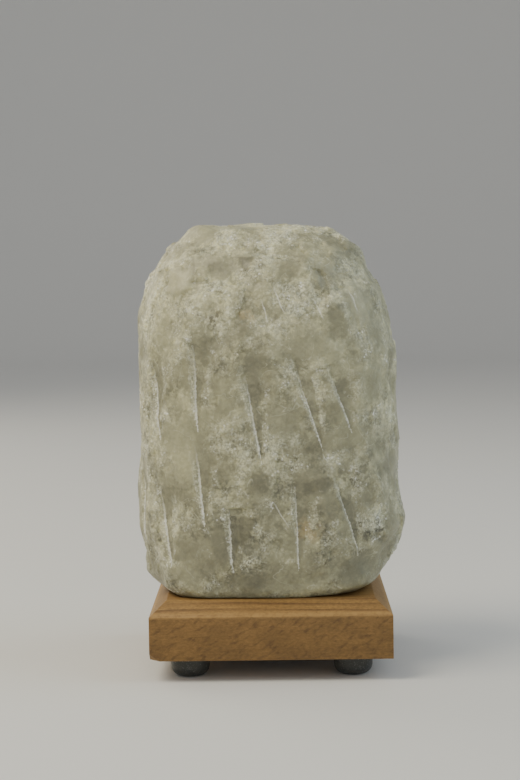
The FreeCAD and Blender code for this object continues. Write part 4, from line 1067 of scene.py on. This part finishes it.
def front_facets(places):
    """Where the flat facets are, how much lighter each is, and how deep it lies."""
    flat = places[:, [0, 2]] / MM
    covered, tone, depth = np.zeros((3, len(places)))
    for corners, lighter, deep in FRONT_FACETS:
        inside = np.full(len(places), 99.0)
        for start, end in zip(corners, corners[1:] + corners[:1]):
            run = np.array(end) - start
            run /= np.linalg.norm(run)
            inside = np.minimum(inside, (flat - start) @ np.array((run[1], -run[0])))
        inside += 0.2 * np.sin(1.3 * flat[:, 0] + 0.7 * flat[:, 1])
        inside += 0.15 * np.sin(2.1 * flat[:, 1] - flat[:, 0])
        amount = smooth_step(inside, -0.4, 0.9) * facing_front(places)
        covered = np.maximum(covered, amount)
        tone += lighter * amount
        depth += deep * amount
    return covered, tone, depth


def store(mesh, name, values):
    layer = mesh.attributes.get(name) or mesh.attributes.new(name, "FLOAT", "POINT")
    layer.data.foreach_set("value", np.asarray(values, dtype=np.float32))


def cut_with(item, cutters):
    """Take the cutters out of a piece, one after another."""
    for cutter in cutters:
        cut = item.modifiers.new("cut", "BOOLEAN")
        cut.operation = "DIFFERENCE"
        cut.solver = "EXACT"
        cut.object = cutter
        apply_modifiers(item)
        mesh = cutter.data
        bpy.data.objects.remove(cutter)
        bpy.data.meshes.remove(mesh)


def drill(x, y, radius, top, segments):
    """A cylinder from just under the rock, to bore it with."""
    low = ROCK_LOW.z - MM
    shape = bmesh.new()
    bmesh.ops.create_cone(shape, cap_ends=True, segments=segments, radius1=radius, radius2=radius,
                          depth=top - low, matrix=Matrix.Translation((x, y, (top + low) / 2)))
    mesh = bpy.data.meshes.new("drill")
    write_back(shape, mesh)
    return new_object("drill", mesh)


def drills():
    """Drills for the lamp's bore and for the four plug holes."""
    radius, top = rock_cavity()
    plug_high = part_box("wall_plugs")[1]
    corner = plug_high.x - PLUG_RADIUS
    found = [drill(0, 0, radius, top, BORE_SEGMENTS)]
    for side_x in (-1, 1):
        for side_y in (-1, 1):
            found.append(drill(side_x * corner, side_y * corner, PLUG_RADIUS + PLUG_PLAY,
                               plug_high.z + HOLE_ABOVE_PLUG, PLUG_HOLE_SEGMENTS))
    return found


def mark_stains(mesh):
    """Where the dark specks and the ochre stain are: middle and radius, in millimetres."""
    places = points_of(mesh) / MM
    specks = [((-21.6, -44.0, 149.0), 5.0), ((-20.0, -46.0, 38.0), 3.5), ((-18.0, -46.0, 34.5), 2.5),
              ((-37.0, -38.0, 42.0), 3.0), ((24.0, -46.0, 48.0), 3.0)]
    stains = [((-7.0, -44.0, 151.0), 6.0), ((16.0, -46.0, 62.0), 7.0), ((12.0, 44.0, 120.0), 8.0)]
    for name, spots in (("speck", specks), ("stain", stains)):
        amount = np.zeros(len(places))
        for middle, radius in spots:
            away = np.linalg.norm(places - np.array(middle), axis=1)
            amount = np.maximum(amount, 1 - smooth_step(away, radius * 0.5, radius))
        store(mesh, name, amount)


class LAMP_OT_make_rock(bpy.types.Operator):
    """Make the hewn rock: broken skin, chisel marks, and the bore for the lamp"""

    bl_idname = "crystal_lamp.make_rock"
    bl_label = "Hewn rock"

    def execute(self, context):
        rock = new_object("hewn_rock", bare_rock())
        even_out(rock, context.scene.lamp_rock.skin_grain)
        fill_old_marks(rock.data)
        soften(rock, 4)
        find = skin_finder(rock.data)
        marks = [ChiselMark(find, mark, number) for number, mark in enumerate(all_marks())]
        refine_lines(rock.data, marks)
        break_skin(rock.data, marks)
        cut_with(rock, drills())
        mark_stains(rock.data)
        rock.data.materials.append(rock_finish())
        smooth_but_for_edges(rock.data, 32)
        place_on(rock, "lamp_base", "hewn_rock", "crystal_block")
        return {"FINISHED"}


# ---- wooden base, feet and screws --------------------------------------------------------------------

class LAMP_OT_make_base(bpy.types.Operator):
    """Make the bevelled beech base, with sanded edges"""

    bl_idname = "crystal_lamp.make_base"
    bl_label = "Wooden base"

    def execute(self, context):
        look = context.scene.lamp_base
        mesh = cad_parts["base_block"].data.copy()
        base = new_object("beech_base", mesh)
        shape = bmesh.new()
        shape.from_mesh(mesh)
        bmesh.ops.remove_doubles(shape, verts=shape.verts, dist=1e-6)
        bmesh.ops.dissolve_limit(shape, angle_limit=math.radians(1), verts=shape.verts,
                                 edges=shape.edges)
        knock_off_corner(shape)
        write_back(shape, mesh)
        mesh.materials.clear()
        mesh.materials.append(beech_finish())
        rounding = base.modifiers.new("sanded_edges", "BEVEL")
        rounding.width = look.edge_rounding
        rounding.segments = 3
        rounding.limit_method = "ANGLE"
        rounding.angle_limit = math.radians(20)
        apply_modifiers(base)
        smooth_but_for_edges(base.data, 30)
        place_on(base, "lamp_base", "beech", "base_block")
        return {"FINISHED"}


def knock_off_corner(shape):
    """Take the tip off the base's lower front left corner."""
    outward = Vector((-0.75, -0.75, -1.0)).normalized()
    place = Vector((BASE_LOW.x, BASE_LOW.y, BASE_LOW.z)) - outward * CHIPPED_CORNER * MM
    geometry = [*shape.verts, *shape.edges, *shape.faces]
    cut = bmesh.ops.bisect_plane(shape, geom=geometry, plane_co=place, plane_no=outward,
                                 clear_outer=True)
    edges = [item for item in cut["geom_cut"] if isinstance(item, bmesh.types.BMEdge)]
    bmesh.ops.contextual_create(shape, geom=edges)


class LAMP_OT_make_feet(bpy.types.Operator):
    """Turn the four round rubber feet"""

    bl_idname = "crystal_lamp.make_feet"
    bl_label = "Rubber feet"

    def execute(self, context):
        rubber = rubber_finish()
        for row in ("front", "back"):
            for column in ("left", "right"):
                node = f"foot_{row}_{column}"
                foot = turned_foot(f"rubber_{node}", *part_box(node))
                foot.data.materials.append(rubber)
                place_on(foot, "lamp_base", "foot_rubber", node)
        return {"FINISHED"}


def turned_foot(name, low, high):
    """A domed foot, turned about its middle, with a small dimple underneath."""
    radius = (high.x - low.x) / 2
    height = high.z - low.z
    rounding = FOOT_ROUNDING * MM
    flat = radius - rounding
    outline = [(0.0, 0.5 * MM), (flat * 0.55, 0.35 * MM), (flat * 0.8, 0.0)]
    for step in range(13):
        angle = math.pi / 2 * step / 12
        outline.append((flat + rounding * math.sin(angle), rounding * (1 - math.cos(angle))))
    outline += [(radius, height * 0.8), (radius, height - 0.2 * MM), (radius - 0.2 * MM, height),
                (0.0, height)]
    middle = (low + high) / 2
    return turned_piece(name, outline, Vector((middle.x, middle.y, low.z)), FOOT_SEGMENTS)


def turned_piece(name, outline, foot, segments):
    """A closed piece turned from an outline of radius and height."""
    shape = bmesh.new()
    rings = []
    for radius, height in outline:
        if radius == 0.0:
            rings.append([shape.verts.new(foot + Vector((0, 0, height)))])
            continue
        ring = []
        for step in range(segments):
            angle = 2 * math.pi * step / segments
            place = Vector((radius * math.cos(angle), radius * math.sin(angle), height))
            ring.append(shape.verts.new(foot + place))
        rings.append(ring)
    for lower, upper in zip(rings, rings[1:]):
        for step in range(segments):
            after = (step + 1) % segments
            corners = [lower[step % len(lower)], lower[after % len(lower)],
                       upper[after % len(upper)], upper[step % len(upper)]]
            corners = list(dict.fromkeys(corners))
            shape.faces.new(corners)
    bmesh.ops.recalc_face_normals(shape, faces=shape.faces)
    mesh = bpy.data.meshes.new(name)
    write_back(shape, mesh)
    smooth_but_for_edges(mesh, 40)
    return new_object(name, mesh)


class LAMP_OT_make_fixings(bpy.types.Operator):
    """Finish the wall plugs and the screws that hold the rock"""

    bl_idname = "crystal_lamp.make_fixings"
    bl_label = "Screws and plugs"

    def execute(self, context):
        steel = context.scene.lamp_fittings.steel
        dress("wall_plugs", plastic_finish("plug_plastic", (0.42, 0.43, 0.44), 0.5))
        dress("crystal_screws", metal_finish("zinc_screws", steel, 0.3, (1.2, 1.2, 0.15)))
        return {"FINISHED"}


# ---- lamp holder and bulb ----------------------------------------------------------------------------

class LAMP_OT_make_holder(bpy.types.Operator):
    """Finish the lamp holder's cap, tube, springs and rivets"""

    bl_idname = "crystal_lamp.make_holder"
    bl_label = "Lamp holder"

    def execute(self, context):
        look = context.scene.lamp_fittings
        plastic = plastic_finish("holder_plastic", look.holder_plastic, 0.45)
        spring = metal_finish("spring_steel", look.steel, 0.28, (1.2, 1.2, 0.1))
        for node in ("holder_cap", "holder_sleeve"):
            dress(node, plastic)
        for node in ("holder_spring_left", "holder_spring_right"):
            dress(node, spring)
        dress("spring_rivets", metal_finish("rivet_steel", look.steel, 0.35))
        return {"FINISHED"}


class LAMP_OT_make_contacts(bpy.types.Operator):
    """Finish the ceramic carrier, the brass contacts and the terminals"""

    bl_idname = "crystal_lamp.make_contacts"
    bl_label = "Contacts"

    def execute(self, context):
        look = context.scene.lamp_fittings
        dress("contact_carrier", ceramic_finish())
        dress("threaded_shell", metal_finish("drawn_brass", look.brass, 0.25, (1, 1, 0.1)))
        strip = metal_finish("rolled_brass", look.brass, 0.32)
        block = metal_finish("machined_brass", [value * 0.95 for value in look.brass], 0.22, (1, 1, 1))
        for node in ("centre_contact", "side_contact"):
            dress(node, strip)
        for node in ("terminal_live", "terminal_neutral"):
            dress(node, block)
        dress("terminal_screws", metal_finish("terminal_steel", look.steel, 0.3))
        return {"FINISHED"}


class LAMP_OT_make_bulb(bpy.types.Operator):
    """Finish the bulb's cap, glass, stem, wires and filament"""

    bl_idname = "crystal_lamp.make_bulb"
    bl_label = "Bulb"

    def execute(self, context):
        finishes = {
            "bulb_cap": metal_finish("bright_cap", (0.72, 0.71, 0.68), 0.2, (1, 1, 0.1)),
            "bulb_insulator": plastic_finish("black_glass", (0.012, 0.012, 0.014), 0.12, 0.03),
            "bulb_tip": metal_finish("solder", (0.55, 0.55, 0.54), 0.4, (1, 1, 1)),
            "bulb_glass": glass_finish("clear_glass", (0.97, 0.99, 0.98)),
            "bulb_stem": glass_finish("stem_glass", (0.90, 0.95, 0.93), 0.85),
            "bulb_lead_wires": metal_finish("nickel_wire", (0.62, 0.59, 0.54), 0.25, (1, 1, 0.1)),
            "bulb_filament": metal_finish("tungsten", (0.30, 0.30, 0.31), 0.4, (1, 1, 1)),
        }
        for node, material in finishes.items():
            dress(node, material)
        return {"FINISHED"}


# ---- stage -------------------------------------------------------------------------------------------

def sweep_floor():
    """A floor that curves up into a backdrop."""
    line = [(FLOOR_FRONT, 0.0)]
    for step in range(FLOOR_BEND_STEPS + 1):
        angle = math.pi / 2 * step / FLOOR_BEND_STEPS
        line.append((FLOOR_BACK + FLOOR_BEND * math.sin(angle), FLOOR_BEND * (1 - math.cos(angle))))
    line.append((FLOOR_BACK + FLOOR_BEND, BACKDROP_TOP))
    shape = bmesh.new()
    rows = [[shape.verts.new((side, y, z)) for side in (-FLOOR_HALF_WIDTH, FLOOR_HALF_WIDTH)]
            for y, z in line]
    for lower, upper in zip(rows, rows[1:]):
        shape.faces.new((lower[0], lower[1], upper[1], upper[0]))
    mesh = bpy.data.meshes.new("floor")
    write_back(shape, mesh)
    mesh.shade_smooth()
    mesh.materials.append(floor_finish())
    floor = new_object("floor", mesh)


def soft_light(name, place, width, power, colour):
    lamp = bpy.data.lights.new(name, "AREA")
    lamp.shape = "RECTANGLE"
    lamp.size = width
    lamp.size_y = width
    lamp.energy = power
    lamp.color = colour
    item = new_object(name, lamp)
    item.location = place
    item.rotation_euler = (Vector(LIT_PLACE) - Vector(place)).to_track_quat("-Z", "Y").to_euler()


class LAMP_OT_make_stage(bpy.types.Operator):
    """Set up the pale floor, the soft lights and the camera"""

    bl_idname = "crystal_lamp.make_stage"
    bl_label = "Stage and camera"

    def execute(self, context):
        look = context.scene.lamp_stage
        sweep_floor()
        for name, place, width, share, colour in LIGHTS:
            soft_light(name, place, width, look.key_power * share, colour)
        world = bpy.data.worlds.new("soft_room")
        world.use_nodes = True
        background = world.node_tree.nodes["Background"]
        background.inputs["Color"].default_value = ROOM_COLOUR
        background.inputs["Strength"].default_value = ROOM_STRENGTH
        context.scene.world = world

        data = bpy.data.cameras.new("camera")
        data.lens = look.lens
        data.sensor_width = SENSOR_SIZE
        data.sensor_height = SENSOR_SIZE
        data.sensor_fit = "AUTO"
        camera = new_object("camera", data)
        camera.location = look.camera_place
        level = Matrix.Rotation(math.pi / 2, 4, "X")
        pan = Matrix.Rotation(look.camera_pan, 4, "Z")
        tilt = Matrix.Rotation(-look.camera_tilt, 4, "X")
        roll = Matrix.Rotation(look.camera_roll, 4, "Z")
        camera.rotation_euler = (pan @ tilt @ level @ roll).to_euler()
        context.scene.camera = camera
        return {"FINISHED"}


# ---- panel and registration --------------------------------------------------------------------------

OPERATORS = (LAMP_OT_make_rock, LAMP_OT_make_base, LAMP_OT_make_feet, LAMP_OT_make_fixings,
             LAMP_OT_make_holder, LAMP_OT_make_contacts, LAMP_OT_make_bulb, LAMP_OT_make_stage)

GROUPS = (("lamp_rock", RockSettings), ("lamp_base", BaseSettings),
          ("lamp_fittings", FittingSettings), ("lamp_stage", StageSettings))


class LAMP_PT_panel(bpy.types.Panel):
    """The lamp's pieces and the sizes and colours they use"""

    bl_idname = "LAMP_PT_panel"
    bl_label = "Crystal lamp"
    bl_space_type = "VIEW_3D"
    bl_region_type = "UI"
    bl_category = "Crystal lamp"

    def draw(self, context):
        for group_name, group in GROUPS:
            box = self.layout.box()
            for field in group.__annotations__:
                box.prop(getattr(context.scene, group_name), field)
        for operator in OPERATORS:
            self.layout.operator(operator.bl_idname)


def register():
    for group_name, group in GROUPS:
        bpy.utils.register_class(group)
        setattr(bpy.types.Scene, group_name, bpy.props.PointerProperty(type=group))
    for operator in OPERATORS:
        bpy.utils.register_class(operator)
    bpy.utils.register_class(LAMP_PT_panel)


def unregister():
    bpy.utils.unregister_class(LAMP_PT_panel)
    for operator in reversed(OPERATORS):
        bpy.utils.unregister_class(operator)
    for group_name, group in reversed(GROUPS):
        delattr(bpy.types.Scene, group_name)
        bpy.utils.unregister_class(group)


def main():
    register()
    for operator in OPERATORS:
        group, call = operator.bl_idname.split(".")
        getattr(getattr(bpy.ops, group), call)()


if __name__ == "__main__":
    main()
